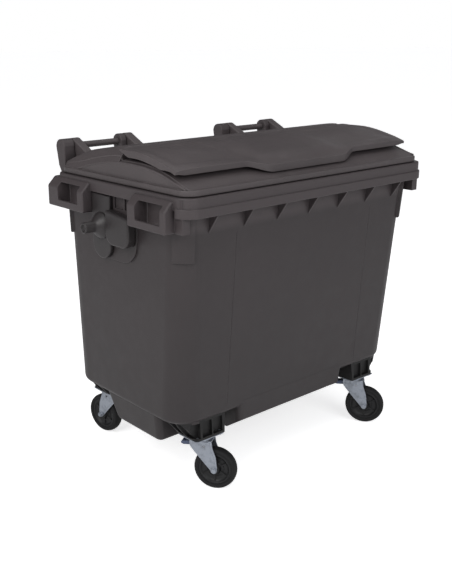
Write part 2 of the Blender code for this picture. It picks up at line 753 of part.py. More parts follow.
def bracket(side):
    """A plate behind the trunnion, with a thicker lobe in front of it."""
    inner = PAD_X + CLEAR
    plate = prism_x(tongue(0.4765, 0.0555, 0.870, 1.046, 1.046, 10), *span(side, inner, 0.609))
    lobe = prism_x(tongue(0.357, 0.067, 0.945, 0.985, 0.998, 7), *span(side, inner, 0.6300))
    hole = rod(0.58, 0.66, SPIGOT_R + CLEAR, (side, 0, 0), TRUNNION, 16)
    return cut(add(plate, lobe), hole)


for side, label in ((-1, "left"), (1, "right")):
    outward = (side, 0, 0)
    part(f"trunnion_bracket_{label}", bracket(side), DARK,
         origin=(side * 0.60, TRUNNION_Y, TRUNNION_Z))
    part(f"trunnion_pin_{label}", turned(TRUNNION_PROFILE, outward, TRUNNION, 20), DARK,
         origin=(side * 0.62, TRUNNION_Y, TRUNNION_Z))
    part(f"trunnion_nut_{label}", ring_solid(NUT_PROFILE, outward, TRUNNION, 16), STEEL,
         origin=(side * 0.575, TRUNNION_Y, TRUNNION_Z))

# ---------------------------------------------------------------- drain
# z, radius
PLUG_PROFILE = [(0.1410, 0.024), (0.1430, 0.0265), (0.1490, 0.0265), (0.1490, 0.0200),
                (0.1620, 0.0200), (0.1635, 0.0185)]
SEAL_PROFILE = [(0.1494, 0.0204), (0.1526, 0.0204), (0.1526, 0.0255), (0.1494, 0.0255)]

part("drain_plug", turned(PLUG_PROFILE, Z_AXIS, DRAIN, 20), CORE, origin=(0, DRAIN_Y, 0.152))
part("drain_seal", ring_solid(SEAL_PROFILE, Z_AXIS, DRAIN, 16), SEAL,
     origin=(0, DRAIN_Y, 0.151))

# ---------------------------------------------------------------- castors
# Castor pieces are drawn round their own swivel axis, trailing along +X.
SWIVEL = (0, 0, 0)
AXLE = (TRAIL, 0.0, WHEEL_R - LIFT)
BRAKE_PIVOT = (0.018, 0.0, 0.151)
BRAKE_HOLE_R = 0.0046
FORK_HALF = 0.0285        # half width over the fork's arms
FORK_WALL = 0.0028
FORK_TOP = 0.1735
AXLE_BOSS_R = 0.0125      # rounded lower end of the fork's arms

# z, radius
RACE_PROFILE = [(0.1794, 0.0240), (0.1828, 0.0240), (0.1828, 0.0330), (0.1794, 0.0330)]
KINGPIN_PROFILE = [(0.1655, 0.0095), (0.1695, 0.0095), (0.1695, 0.0060), (0.1920, 0.0060),
                   (0.1920, 0.0110), (0.1985, 0.0105)]
# distance along the axle, radius
CORE_PROFILE = [(-0.0235, 0.0102), (0.0235, 0.0102), (0.0235, 0.0165), (0.0060, 0.0235),
                (0.0060, 0.0480), (0.0165, 0.0540), (0.0165, 0.0600), (-0.0165, 0.0600),
                (-0.0165, 0.0540), (-0.0060, 0.0480), (-0.0060, 0.0235), (-0.0235, 0.0165)]
TYRE_PROFILE = [(-0.0180, 0.0608), (0.0180, 0.0608), (0.0200, 0.0700), (0.0170, 0.0760),
                (0.0080, WHEEL_R), (-0.0080, WHEEL_R), (-0.0170, 0.0760), (-0.0200, 0.0700)]
BUSH_PROFILE = [(-0.0250, 0.0066), (0.0250, 0.0066), (0.0250, 0.0096), (-0.0250, 0.0096)]
# x, z
PEDAL_OUTLINE = [(0.0265, 0.1590), (0.0265, 0.1440), (0.0150, 0.1425), (-0.0300, 0.1440),
                 (-0.0450, 0.1440), (-0.0620, 0.1405), (-0.0655, 0.1430), (-0.0650, 0.1480),
                 (-0.0480, 0.1565), (-0.0300, 0.1600)]
STEM_OUTLINE = [(-0.0160, 0.1425), (-0.0140, 0.1290), (-0.0060, 0.1240), (0.0030, 0.1300),
                (0.0010, 0.1425)]


def top_plate():
    plate = box(-0.0675, 0.0675, -0.0525, 0.0525, 0.1878, 0.1916)
    soften(plate, 0.008, upright_edges(plate), 1)
    race = turned([(0.1832, 0.0310), (0.1885, 0.0335)], Z_AXIS, SWIVEL, 16)
    studs = [rod(0.1890, 0.2150, 0.0048, Z_AXIS, (x, y, 0), 6)
             for x in (-STUD_X, STUD_X) for y in (-STUD_Y, STUD_Y)]
    return cut(add(plate, race, *studs), rod(0.170, 0.200, 0.0068, Z_AXIS, SWIVEL, 10))


def fork():
    crown = turned([(0.1725, 0.036), (0.1790, 0.035)], Z_AXIS, SWIVEL, 14)
    top = box(-0.030, 0.044, -FORK_HALF, FORK_HALF, 0.1700, FORK_TOP)
    outline = ([(-0.034, FORK_TOP), (-0.036, 0.152), (-0.030, 0.146)]
               + arc(AXLE[0], AXLE[2], AXLE_BOSS_R, 5, 205, 155)
               + [(AXLE[0] + AXLE_BOSS_R, AXLE[2] + 0.020), (0.046, FORK_TOP)])
    arms = [prism_y(outline, *span(end, FORK_HALF - FORK_WALL, FORK_HALF)) for end in (-1, 1)]
    return cut(add(crown, top, *arms),
               rod(-0.04, 0.04, 0.0065, Y_AXIS, AXLE, 8),
               rod(0.16, 0.20, 0.0069, Z_AXIS, SWIVEL, 8),
               rod(-0.04, 0.04, BRAKE_HOLE_R, Y_AXIS, BRAKE_PIVOT, 6))


def axle_bolt():
    head = turned([(-0.0352, 0.0095), (-0.0288, 0.0098)], Y_AXIS, AXLE, 6)
    return add(head, rod(-0.0292, 0.0395, 0.0056, Y_AXIS, AXLE, 8))


def axle_nut():
    return cut(rod(0.0289, 0.0365, 0.0098, Y_AXIS, AXLE, 6),
               rod(0.02, 0.045, 0.0064, Y_AXIS, AXLE, 8))


def brake_pedal():
    """A lever over the tyre: its outer end slopes down to the tread."""
    lever = prism_y(PEDAL_OUTLINE, -0.0160, 0.0160)
    soften(lever, 0.0015, list(lever.edges), 1)
    return cut(lever, rod(-0.03, 0.03, BRAKE_HOLE_R, Y_AXIS, BRAKE_PIVOT, 6))


def brake_shoe():
    """A curved pad clear of the tyre, on a stem from the underside of the pedal."""
    outline = (arc(AXLE[0], AXLE[2], 0.0900, 2, 124, 16)
               + arc(AXLE[0], AXLE[2], 0.0850, 2, 140, -16))
    return add(prism_y(outline, -0.0140, 0.0140), prism_y(STEM_OUTLINE, -0.0060, 0.0060))


def castor(label, x, y, turn, braked):
    fixed = Matrix.Translation((x, y, 0))
    swivelled = fixed @ Matrix.Rotation(turn, 4, "Z")

    def piece(name, solid, mat, frame, origin, smooth=35):
        """Puts a piece in place; origin is on the castor's own axes."""
        bmesh.ops.transform(solid, matrix=frame, verts=solid.verts)
        part(f"{name}_{label}", solid, mat, origin=frame @ Vector(origin), smooth=smooth)

    piece("castor_plate", top_plate(), ZINC, fixed, (0, 0, PLATE_Z))
    piece("swivel_race", ring_solid(RACE_PROFILE, Z_AXIS, SWIVEL, 16), STEEL, fixed,
          (0, 0, 0.181))
    piece("kingpin", turned(KINGPIN_PROFILE, Z_AXIS, SWIVEL, 8), STEEL, fixed, (0, 0, 0.180))
    piece("fork", fork(), ZINC, swivelled, (0, 0, 0.175))
    piece("wheel_core", ring_solid(CORE_PROFILE, Y_AXIS, AXLE, 16), CORE, swivelled, AXLE)
    piece("tyre", ring_solid(TYRE_PROFILE, Y_AXIS, AXLE, 20), RUBBER, swivelled, AXLE,
          smooth=45)
    piece("hub_bush", ring_solid(BUSH_PROFILE, Y_AXIS, AXLE, 10), STEEL, swivelled, AXLE)
    piece("axle_bolt", axle_bolt(), STEEL, swivelled, AXLE)
    piece("axle_nut", axle_nut(), STEEL, swivelled, AXLE)
    if braked:
        pin = rod(-0.0300, 0.0300, 0.0038, Y_AXIS, BRAKE_PIVOT, 6)
        piece("brake_pedal", brake_pedal(), PEDAL, swivelled, BRAKE_PIVOT)
        piece("brake_shoe", brake_shoe(), STEEL, swivelled, BRAKE_PIVOT)
        piece("brake_pin", pin, STEEL, swivelled, BRAKE_PIVOT)


for row, y, turn, braked in (("f", CASTOR_FRONT, FRONT_TURN, True),
                             ("r", CASTOR_BACK, REAR_TURN, False)):
    for letter, side in (("l", -1), ("r", 1)):
        castor(row + letter, side * CASTOR_X, y, turn, braked)
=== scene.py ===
import json
import math

import bmesh
import bpy
from mathutils import Matrix, Vector


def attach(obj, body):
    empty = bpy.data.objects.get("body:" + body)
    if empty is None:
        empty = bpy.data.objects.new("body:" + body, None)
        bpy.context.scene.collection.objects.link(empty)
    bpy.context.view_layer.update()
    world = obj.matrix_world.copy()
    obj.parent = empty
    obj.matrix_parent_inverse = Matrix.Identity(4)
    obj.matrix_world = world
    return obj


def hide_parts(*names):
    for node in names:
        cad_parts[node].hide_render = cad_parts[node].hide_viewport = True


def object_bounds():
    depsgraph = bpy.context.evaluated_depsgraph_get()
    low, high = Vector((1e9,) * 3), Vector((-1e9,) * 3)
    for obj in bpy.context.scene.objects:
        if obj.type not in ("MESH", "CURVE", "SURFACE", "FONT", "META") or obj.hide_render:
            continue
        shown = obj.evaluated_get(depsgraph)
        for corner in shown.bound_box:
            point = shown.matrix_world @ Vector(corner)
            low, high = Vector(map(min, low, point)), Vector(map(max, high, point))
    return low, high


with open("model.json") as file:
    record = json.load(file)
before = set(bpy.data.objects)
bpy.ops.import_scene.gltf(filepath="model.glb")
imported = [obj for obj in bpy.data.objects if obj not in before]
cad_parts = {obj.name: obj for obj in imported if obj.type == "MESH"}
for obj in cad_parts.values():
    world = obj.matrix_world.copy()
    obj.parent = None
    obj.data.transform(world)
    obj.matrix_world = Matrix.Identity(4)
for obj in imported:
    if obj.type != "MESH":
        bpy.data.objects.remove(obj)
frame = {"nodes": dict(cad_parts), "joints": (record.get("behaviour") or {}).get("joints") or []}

SCENE = bpy.context.scene.collection
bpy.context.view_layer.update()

# ---------------------------------------------------------------- dimensions
RIM_HALF = 0.611
RIM_DEPTH = 0.776
RIM_TOP = 1.091
RIM_R = 0.058
BAND_SIDE = 0.041
BAND_SPLIT = 1.0575
BAND_LOW = 1.025
BAND_PROUD = 0.005
WALL = 0.005
TUB_TOP = (0.589, 0.045, 0.7585, 0.082, 1.040)
TUB_LOW = (0.572, 0.097, 0.752, 0.097, 0.272)
FLOOR_Z = 0.262
FLOOR_FILLET = 0.022
SUMP_Z = 0.153
CASTOR_YF = 0.150
CASTOR_YB = 0.700
CASTOR_X = 0.424
PLATE_Z = 0.192
TRUN_R = 0.020
TRUN_TIP = 0.685
SPIGOT_R = 0.015
PAD_X = 0.5925
HINGE_R = 0.0125
FLAP_PIN_R = 0.0025
FLAP_HINGES = (-0.40, 0.40)
LOOP_STARTS = (-0.558, 0.240)
WHEEL_R = 0.080
CLEAR = 0.0004

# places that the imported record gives
JOINT = {j["name"]: j for j in frame["joints"]}
LOW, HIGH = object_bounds()
Y_MID = BAND_PROUD * -0.5 + 0.840 * 0.5
LIFT = JOINT["lid_hinge"]["pos_m"][2] - 1.175
HINGE_Y, HINGE_Z = JOINT["lid_hinge"]["pos_m"][1] + Y_MID, 1.175
FLAP_Y, FLAP_Z = JOINT["flap_hinge"]["pos_m"][1] + Y_MID, JOINT["flap_hinge"]["pos_m"][2] - LIFT
TRUN_Y, TRUN_Z = 0.475, 0.935
SHIFT = Vector((0, -Y_MID, LIFT))


# ---------------------------------------------------------------- mesh makers
def loft(rings):
    """A closed solid through rings of equal length, capped at both ends."""
    bm = bmesh.new()
    made = [[bm.verts.new(p) for p in ring] for ring in rings]
    n = len(made[0])
    for low, high in zip(made, made[1:]):
        for i in range(n):
            j = (i + 1) % n
            bm.faces.new((low[i], low[j], high[j], high[i]))
    bm.faces.new(made[0][::-1])
    bm.faces.new(made[-1])
    bmesh.ops.recalc_face_normals(bm, faces=bm.faces)
    return bm


def rrect(hx, y0, y1, r, z, n=12):
    out = []
    for cx, cy, a0 in ((hx - r, y1 - r, 0), (r - hx, y1 - r, 90), (r - hx, y0 + r, 180), (hx - r, y0 + r, 270)):
        for i in range(n + 1):
            a = math.radians(a0 + 90 * i / n)
            out.append((cx + r * math.cos(a), cy + r * math.sin(a), z))
    return out


def prism_x(profile, x0, x1):
    return loft([[(x, y, z) for y, z in profile] for x in (x0, x1)])


def prism_y(profile, y0, y1):
    return loft([[(x, y, z) for x, z in profile] for y in (y0, y1)])


def prism_z(hx, y0, y1, r, z0, z1, n=12):
    return loft([rrect(hx, y0, y1, r, z, n) for z in (z0, z1)])


def box(x0, x1, y0, y1, z0, z1):
    return loft([[(x0, y0, z), (x1, y0, z), (x1, y1, z), (x0, y1, z)] for z in (z0, z1)])


def taper(a, b):
    return loft([[(x0, y0, z), (x1, y0, z), (x1, y1, z), (x0, y1, z)] for x0, x1, y0, y1, z in (a, b)])


def sides_of(axis):
    side = (Vector((0, 0, 1)) if abs(axis.z) < 0.9 else Vector((1, 0, 0))).cross(axis).cross(axis).normalized()
    return side, axis.cross(side)


def turned(profile, axis, centre, n=48):
    """A solid of revolution from (distance along the axis, radius)."""
    axis = Vector(axis).normalized()
    side, other = sides_of(axis)
    centre = Vector(centre)
    rings = []
    for d, r in profile:
        rings.append([tuple(centre + axis * d + (side * math.cos(t) + other * math.sin(t)) * r)
                      for t in (2 * math.pi * i / n for i in range(n))])
    return loft(rings)


def ring_solid(profile, axis, centre, n=48):
    """A revolved closed profile that doesn't touch the axis."""
    axis = Vector(axis).normalized()
    side, other = sides_of(axis)
    centre = Vector(centre)
    bm = bmesh.new()
    made = []
    for i in range(n):
        t = 2 * math.pi * i / n
        out = side * math.cos(t) + other * math.sin(t)
        made.append([bm.verts.new(centre + axis * d + out * r) for d, r in profile])
    m = len(profile)
    for i in range(n):
        a, b = made[i], made[(i + 1) % n]
        for k in range(m):
            l = (k + 1) % m
            bm.faces.new((a[k], a[l], b[l], b[k]))
    bmesh.ops.recalc_face_normals(bm, faces=bm.faces)
    return bm


def circle_profile(cy, cz, r, n=24, start=0.0, sweep=360.0):
    steps = n if sweep < 360 else n - 1
    return [(cy + r * math.cos(math.radians(start + sweep * i / n)), cz + r * math.sin(math.radians(start + sweep * i / n)))
            for i in range(steps + 1)]


def arc_xz(cx, cz, r, n, start, sweep):
    return [(cx + r * math.cos(math.radians(start + sweep * i / n)), cz + r * math.sin(math.radians(start + sweep * i / n))) for i in range(n + 1)]


def soften(bm, width, test=None, segments=3):
    """Rounds the edges that pass the test, or all edges sharper than 25 degrees."""
    if test is None:
        edges = [e for e in bm.edges if len(e.link_faces) == 2 and e.calc_face_angle(0) > math.radians(25)]
    else:
        edges = [e for e in bm.edges if test(e)]
    if edges:
        bmesh.ops.bevel(bm, geom=edges, offset=width, segments=segments, profile=0.5, affect="EDGES", clamp_overlap=True)
    return bm


def upright(e):
    d = (e.verts[0].co - e.verts[1].co)
    return abs(d.z) > 0.6 * d.length


def lower_loop(e, z):
    return all(v.co.z < z for v in e.verts)


def helper(bm):
    me = bpy.data.meshes.new("helper")
    bm.to_mesh(me)
    bm.free()
    ob = bpy.data.objects.new("helper", me)
    SCENE.objects.link(ob)
    ob.hide_render = True
    return ob


def combine(base, others, operation):
    """base with all the others added or cut, one exact Boolean each. Returns a bmesh."""
    work = helper(base)
    for bm in others:
        operand = helper(bm)
        mod = work.modifiers.new("combine", "BOOLEAN")
        mod.operation = operation
        mod.solver = "EXACT"
        mod.object = operand
        bpy.context.view_layer.update()
        graph = bpy.context.evaluated_depsgraph_get()
        done = bpy.data.meshes.new_from_object(work.evaluated_get(graph))
        work.modifiers.clear()
        old, work.data = work.data, done
        bpy.data.meshes.remove(old)
        old = operand.data
        bpy.data.objects.remove(operand, do_unlink=True)
        bpy.data.meshes.remove(old)
    bm = bmesh.new()
    bm.from_mesh(work.data)
    me = work.data
    bpy.data.objects.remove(work, do_unlink=True)
    bpy.data.meshes.remove(me)
    return bm


def add(base, *others):
    return combine(base, others, "UNION")


def cut(base, *others):
    return combine(base, others, "DIFFERENCE")


def common(base, other):
    return combine(base, [other], "INTERSECT")


def tidy(ob, bevel=0.0, segments=2, angle=38, weighted=True):
    """Rounds what edges are left, and gives flat faces flat shading beside the round ones."""
    if bevel:
        mod = ob.modifiers.new("edges", "BEVEL")
        mod.width = bevel
        mod.segments = segments
        mod.limit_method = "ANGLE"
        mod.angle_limit = math.radians(angle)
        mod.harden_normals = False
        mod.use_clamp_overlap = True
    if weighted:
        mod = ob.modifiers.new("normals", "WEIGHTED_NORMAL")
        mod.keep_sharp = True
        mod.weight = 80
    bpy.context.view_layer.update()
    graph = bpy.context.evaluated_depsgraph_get()
    done = bpy.data.meshes.new_from_object(ob.evaluated_get(graph))
    old, ob.data = ob.data, done
    ob.modifiers.clear()
    bpy.data.meshes.remove(old)
    return ob


def piece(name, bm, mat, body, nodes=(), smooth=38, bevel=0.0, segments=2, place=None, weighted=True):
    """A finished piece: points are in the drawing frame, and it rides on its body."""
    m = Matrix.Translation(SHIFT) @ place if place else Matrix.Translation(SHIFT)
    bmesh.ops.transform(bm, matrix=m, verts=bm.verts)
    bmesh.ops.remove_doubles(bm, verts=bm.verts, dist=2e-6)
    me = bpy.data.meshes.new(name)
    bm.to_mesh(me)
    bm.free()
    me.materials.append(mat)
    me.shade_smooth()
    me.set_sharp_from_angle(angle=math.radians(smooth))
    ob = bpy.data.objects.new(name, me)
    SCENE.objects.link(ob)
    tidy(ob, bevel, segments, weighted=weighted)
    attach(ob, body)
    if nodes:
        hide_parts(*nodes)
    return ob


def table(points, v):
    """Straight-line lookup in a list of (position, value)."""
    if v <= points[0][0]:
        return points[0][1]
    for (a, za), (b, zb) in zip(points, points[1:]):
        if v <= b:
            return za + (zb - za) * (v - a) / (b - a) if b > a else zb
    return points[-1][1]


def smooth_table(points, v):
    """The same with a Catmull-Rom curve through the points."""
    if v <= points[0][0]:
        return points[0][1]
    if v >= points[-1][0]:
        return points[-1][1]
    i = max(k for k in range(len(points) - 1) if points[k][0] <= v)
    p = [points[max(i - 1, 0)], points[i], points[i + 1], points[min(i + 2, len(points) - 1)]]
    h = p[2][0] - p[1][0]
    t = (v - p[1][0]) / h
    m1 = (p[2][1] - p[0][1]) / (p[2][0] - p[0][0]) * h
    m2 = (p[3][1] - p[1][1]) / (p[3][0] - p[1][0]) * h
    return ((2 * t ** 3 - 3 * t * t + 1) * p[1][1] + (t ** 3 - 2 * t * t + t) * m1 + (3 * t * t - 2 * t ** 3) * p[2][1] + (t ** 3 - t * t) * m2)


def ramp(a, b, v):
    t = min(max((v - a) / (b - a), 0.0), 1.0)
    return t * t * (3 - 2 * t)


def shell_grid(xs, ys_of, top_of, low_of):
    """A closed sheet over a grid: ys_of(x) gives the y stations of one column."""
    bm = bmesh.new()
    top, low = [], []
    for x in xs:
        ys = ys_of(x)
        top.append([bm.verts.new((x, y, top_of(x, y, j))) for j, y in enumerate(ys)])
        low.append([bm.verts.new((x, y, low_of(x, y, j))) for j, y in enumerate(ys)])
    n, m = len(xs), len(top[0])
    for i in range(n - 1):
        for j in range(m - 1):
            bm.faces.new((top[i][j], top[i + 1][j], top[i + 1][j + 1], top[i][j + 1]))
            bm.faces.new((low[i][j], low[i][j + 1], low[i + 1][j + 1], low[i + 1][j]))
    for i in range(n - 1):
        bm.faces.new((top[i][0], low[i][0], low[i + 1][0], top[i + 1][0]))
        bm.faces.new((top[i][-1], top[i + 1][-1], low[i + 1][-1], low[i][-1]))
    for j in range(m - 1):
        bm.faces.new((top[0][j], top[0][j + 1], low[0][j + 1], low[0][j]))
        bm.faces.new((top[-1][j], low[-1][j], low[-1][j + 1], top[-1][j + 1]))
    bmesh.ops.recalc_face_normals(bm, faces=bm.faces)
    return bm


def pipe(path, r, n=10):
    """A round bead along a polyline."""
    rings = []
    for i, p in enumerate(path):
        a, b = Vector(path[max(i - 1, 0)]), Vector(path[min(i + 1, len(path) - 1)])
        d = (b - a).normalized()
        u = d.cross(Vector((1, 0, 0)))
        if u.length < 0.2:
            u = d.cross(Vector((0, 0, 1)))
        u.normalize()
        v = d.cross(u)
        rings.append([tuple(Vector(p) + (u * math.cos(t) + v * math.sin(t)) * r) for t in (2 * math.pi * k / n for k in range(n))])
    return loft(rings)


# ---------------------------------------------------------------- materials
BODY_COLOUR = (0.0292, 0.0240, 0.0250)
LID_COLOUR = (0.0640, 0.0545, 0.0558)
DARK_COLOUR = (0.0250, 0.0218, 0.0224)


def new_material(name):
    mat = bpy.data.materials.new(name)
    mat.use_nodes = True
    tree = mat.node_tree
    shader = tree.nodes["Principled BSDF"]
    return mat, tree.nodes, tree.links, shader


def node(nodes, kind, **values):
    made = nodes.new(kind)
    for key, value in values.items():
        if key in made.inputs.keys():
            made.inputs[key].default_value = value
        else:
            setattr(made, key, value)
    return made


def mix_colour(nodes, links, factor, a, b):
    mix = nodes.new("ShaderNodeMix")
    mix.data_type = "RGBA"
    for socket, value in ((mix.inputs[6], a), (mix.inputs[7], b)):
        if isinstance(value, tuple):
            socket.default_value = (*value, 1.0)
        else:
            links.new(value, socket)
    if isinstance(factor, float):
        mix.inputs[0].default_value = factor
    else:
        links.new(factor, mix.inputs[0])
    return mix.outputs[2]


def spread(nodes, links, value, low, high, to_low=0.0, to_high=1.0):
    made = nodes.new("ShaderNodeMapRange")
    made.inputs["From Min"].default_value = low
    made.inputs["From Max"].default_value = high
    made.inputs["To Min"].default_value = to_low
    made.inputs["To Max"].default_value = to_high
    links.new(value, made.inputs["Value"])
    return made.outputs["Result"]


def edge_mask(nodes, links, radius):
    """Near 1 on sharp convex edges: how far the rounded normal turns from the true one."""
    rounded = node(nodes, "ShaderNodeBevel", Radius=radius)
    rounded.samples = 4
    flat = nodes.new("ShaderNodeNewGeometry")
    dot = nodes.new("ShaderNodeVectorMath")
    dot.operation = "DOT_PRODUCT"
    links.new(rounded.outputs["Normal"], dot.inputs[0])
    links.new(flat.outputs["Normal"], dot.inputs[1])
    return spread(nodes, links, dot.outputs["Value"], 0.985, 0.80)


def plastic(name, colour, roughness, bump, edge_wear_and_highlight=0.30, scale=1.0, wide=0.0022, low_painted_shade=0.0, patch=1.0, corner=0.75):
    """Moulded polyethylene: fine grain, slow tone changes, faint scuffs, paler edges that are partly rub wear and
    partly painted highlight, and painted shade in corners.
    """
    mat, nodes, links, shader = new_material(name)
    place = nodes.new("ShaderNodeTexCoord").outputs["Object"]
    big = node(nodes, "ShaderNodeTexNoise", Scale=2.3, Detail=3.0, Roughness=0.55)
    mid = node(nodes, "ShaderNodeTexNoise", Scale=19.0, Detail=4.0, Roughness=0.6)
    fine = node(nodes, "ShaderNodeTexNoise", Scale=900.0 * scale, Detail=2.0, Roughness=0.5)
    grain = node(nodes, "ShaderNodeTexVoronoi", Scale=620.0 * scale)
    # scuffs: long thin streaks
    stretch = nodes.new("ShaderNodeMapping")
    stretch.inputs["Scale"].default_value = (1.5, 1.5, 38.0)
    stretch.inputs["Rotation"].default_value = (0.35, 0.25, 0.0)
    streak = node(nodes, "ShaderNodeTexNoise", Scale=3.1, Detail=6.0, Roughness=0.7)
    for tex in (big, mid, fine, grain):
        links.new(place, tex.inputs["Vector"])
    links.new(place, stretch.inputs["Vector"])
    links.new(stretch.outputs["Vector"], streak.inputs["Vector"])
    pale = tuple(min(c * 1.30, 1.0) for c in colour)
    deep = tuple(c * 0.78 for c in colour)
    tone = mix_colour(nodes, links, spread(nodes, links, big.outputs["Fac"], 0.5 - 0.20 / patch, 0.5 + 0.20 / patch), deep, pale)
    tone = mix_colour(nodes, links, 0.52, tone, colour)
    spots = spread(nodes, links, mid.outputs["Fac"], 0.56, 0.74, 0.0, 0.28)
    tone = mix_colour(nodes, links, spots, tone, tuple(min(c * 1.5, 1.0) for c in colour))
    scuff = spread(nodes, links, streak.outputs["Fac"], 0.63, 0.78, 0.0, 0.25)
    tone = mix_colour(nodes, links, scuff, tone, tuple(min(c * 2.1, 1.0) for c in colour))
    if low_painted_shade:
        split = nodes.new("ShaderNodeSeparateXYZ")
        links.new(place, split.inputs["Vector"])
        # painted shade: the colour darkens towards the bottom, from z 0.66 down to z 0.20
        low = spread(nodes, links, split.outputs["Z"], 0.66, 0.20, 0.0, low_painted_shade)
        tone = mix_colour(nodes, links, low, tone, tuple(c * 0.50 for c in colour))
        # painted light: the rim and its handles are made paler above z 0.975, as if lit from above
        high = spread(nodes, links, split.outputs["Z"], 0.975, 1.000, 0.0, 0.85)
        tone = mix_colour(nodes, links, high, tone, tuple(c * 1.75 for c in colour))
    # painted shade: an ambient occlusion node darkens the colour in corners, creases and under parts
    if corner:
        painted_occlusion = node(nodes, "ShaderNodeAmbientOcclusion", Distance=0.040)
        painted_occlusion.samples = 4
        tone = mix_colour(nodes, links, spread(nodes, links, painted_occlusion.outputs["AO"], 0.92, 0.25, 0.0, corner), tone, tuple(c * 0.34 for c in colour))
    # paler edges, partly rub wear and partly painted highlight: convex edges are mixed towards a paler colour, more in
    # some patches
    edge_rub_and_highlight = edge_mask(nodes, links, wide)
    amount = nodes.new("ShaderNodeMath")
    amount.operation = "MULTIPLY"
    links.new(edge_rub_and_highlight, amount.inputs[0])
    links.new(spread(nodes, links, mid.outputs["Fac"], 0.30, 0.68, edge_wear_and_highlight * 0.45, edge_wear_and_highlight), amount.inputs[1])
    tone = mix_colour(nodes, links, amount.outputs["Value"], tone, tuple(min(c * 2.3 + 0.015, 1.0) for c in colour))
    links.new(tone, shader.inputs["Base Color"])
    rough = spread(nodes, links, mid.outputs["Fac"], 0.25, 0.75, roughness - 0.05, roughness + 0.07)
    add_rough = nodes.new("ShaderNodeMath")
    add_rough.operation = "ADD"
    links.new(rough, add_rough.inputs[0])
    links.new(spread(nodes, links, big.outputs["Fac"], 0.3, 0.7, -0.03, 0.04), add_rough.inputs[1])
    links.new(add_rough.outputs["Value"], shader.inputs["Roughness"])
    shader.inputs["Specular IOR Level"].default_value = 0.36
    height = nodes.new("ShaderNodeMath")
    height.operation = "MULTIPLY_ADD"
    links.new(grain.outputs["Distance"], height.inputs[0])
    height.inputs[1].default_value = 0.6
    links.new(fine.outputs["Fac"], height.inputs[2])
    soft = node(nodes, "ShaderNodeBevel", Radius=wide)
    soft.samples = 4
    pit = node(nodes, "ShaderNodeBump", Strength=bump, Distance=0.0006)
    links.new(height.outputs["Value"], pit.inputs["Height"])
    links.new(soft.outputs["Normal"], pit.inputs["Normal"])
    wave = node(nodes, "ShaderNodeBump", Strength=0.10, Distance=0.004)
    links.new(mid.outputs["Fac"], wave.inputs["Height"])
    links.new(pit.outputs["Normal"], wave.inputs["Normal"])
    links.new(wave.outputs["Normal"], shader.inputs["Normal"])
    return mat


def metal(name, colour, roughness, dull, scratch=0.35, grime=0.35, wide=0.0012):
    """Plated steel: spangle, fine scratches, grime in patches and brighter edges that are partly rub wear and partly
    painted highlight.
    """
    mat, nodes, links, shader = new_material(name)
    place = nodes.new("ShaderNodeTexCoord").outputs["Object"]
    cells = node(nodes, "ShaderNodeTexVoronoi", Scale=150.0)
    dust = node(nodes, "ShaderNodeTexNoise", Scale=38.0, Detail=5.0, Roughness=0.65)
    fine = node(nodes, "ShaderNodeTexNoise", Scale=520.0, Detail=2.0)
    stretch = nodes.new("ShaderNodeMapping")
    stretch.inputs["Scale"].default_value = (260.0, 260.0, 9.0)
    lines = node(nodes, "ShaderNodeTexNoise", Scale=1.6, Detail=3.0)
    for tex in (cells, dust, fine):
        links.new(place, tex.inputs["Vector"])
    links.new(place, stretch.inputs["Vector"])
    links.new(stretch.outputs["Vector"], lines.inputs["Vector"])
    tone = mix_colour(nodes, links, spread(nodes, links, cells.outputs["Distance"], 0.0, 0.9, 0.0, 0.5), colour, tuple(c * 0.84 for c in colour))
    dirt = spread(nodes, links, dust.outputs["Fac"], 0.50, 0.72, 0.0, grime)
    tone = mix_colour(nodes, links, dirt, tone, dull)
    # brighter edges, partly rub wear and partly painted highlight: convex edges are mixed towards a brighter colour
    edge_rub_and_highlight = edge_mask(nodes, links, wide)
    amount = nodes.new("ShaderNodeMath")
    amount.operation = "MULTIPLY"
    links.new(edge_rub_and_highlight, amount.inputs[0])
    amount.inputs[1].default_value = 0.6
    tone = mix_colour(nodes, links, amount.outputs["Value"], tone, tuple(min(c * 1.25, 1.0) for c in colour))
    links.new(tone, shader.inputs["Base Color"])
    links.new(spread(nodes, links, dust.outputs["Fac"], 0.35, 0.75, 0.92, 0.45), shader.inputs["Metallic"])
    links.new(spread(nodes, links, dust.outputs["Fac"], 0.30, 0.75, roughness - 0.05, roughness + 0.25), shader.inputs["Roughness"])
    height = nodes.new("ShaderNodeMath")
    height.operation = "MULTIPLY_ADD"
    links.new(lines.outputs["Fac"], height.inputs[0])
    height.inputs[1].default_value = scratch
    links.new(fine.outputs["Fac"], height.inputs[2])
    soft = node(nodes, "ShaderNodeBevel", Radius=wide)
    soft.samples = 4
    pit = node(nodes, "ShaderNodeBump", Strength=0.10, Distance=0.0004)
    links.new(height.outputs["Value"], pit.inputs["Height"])
    links.new(soft.outputs["Normal"], pit.inputs["Normal"])
    links.new(pit.outputs["Normal"], shader.inputs["Normal"])
    return mat


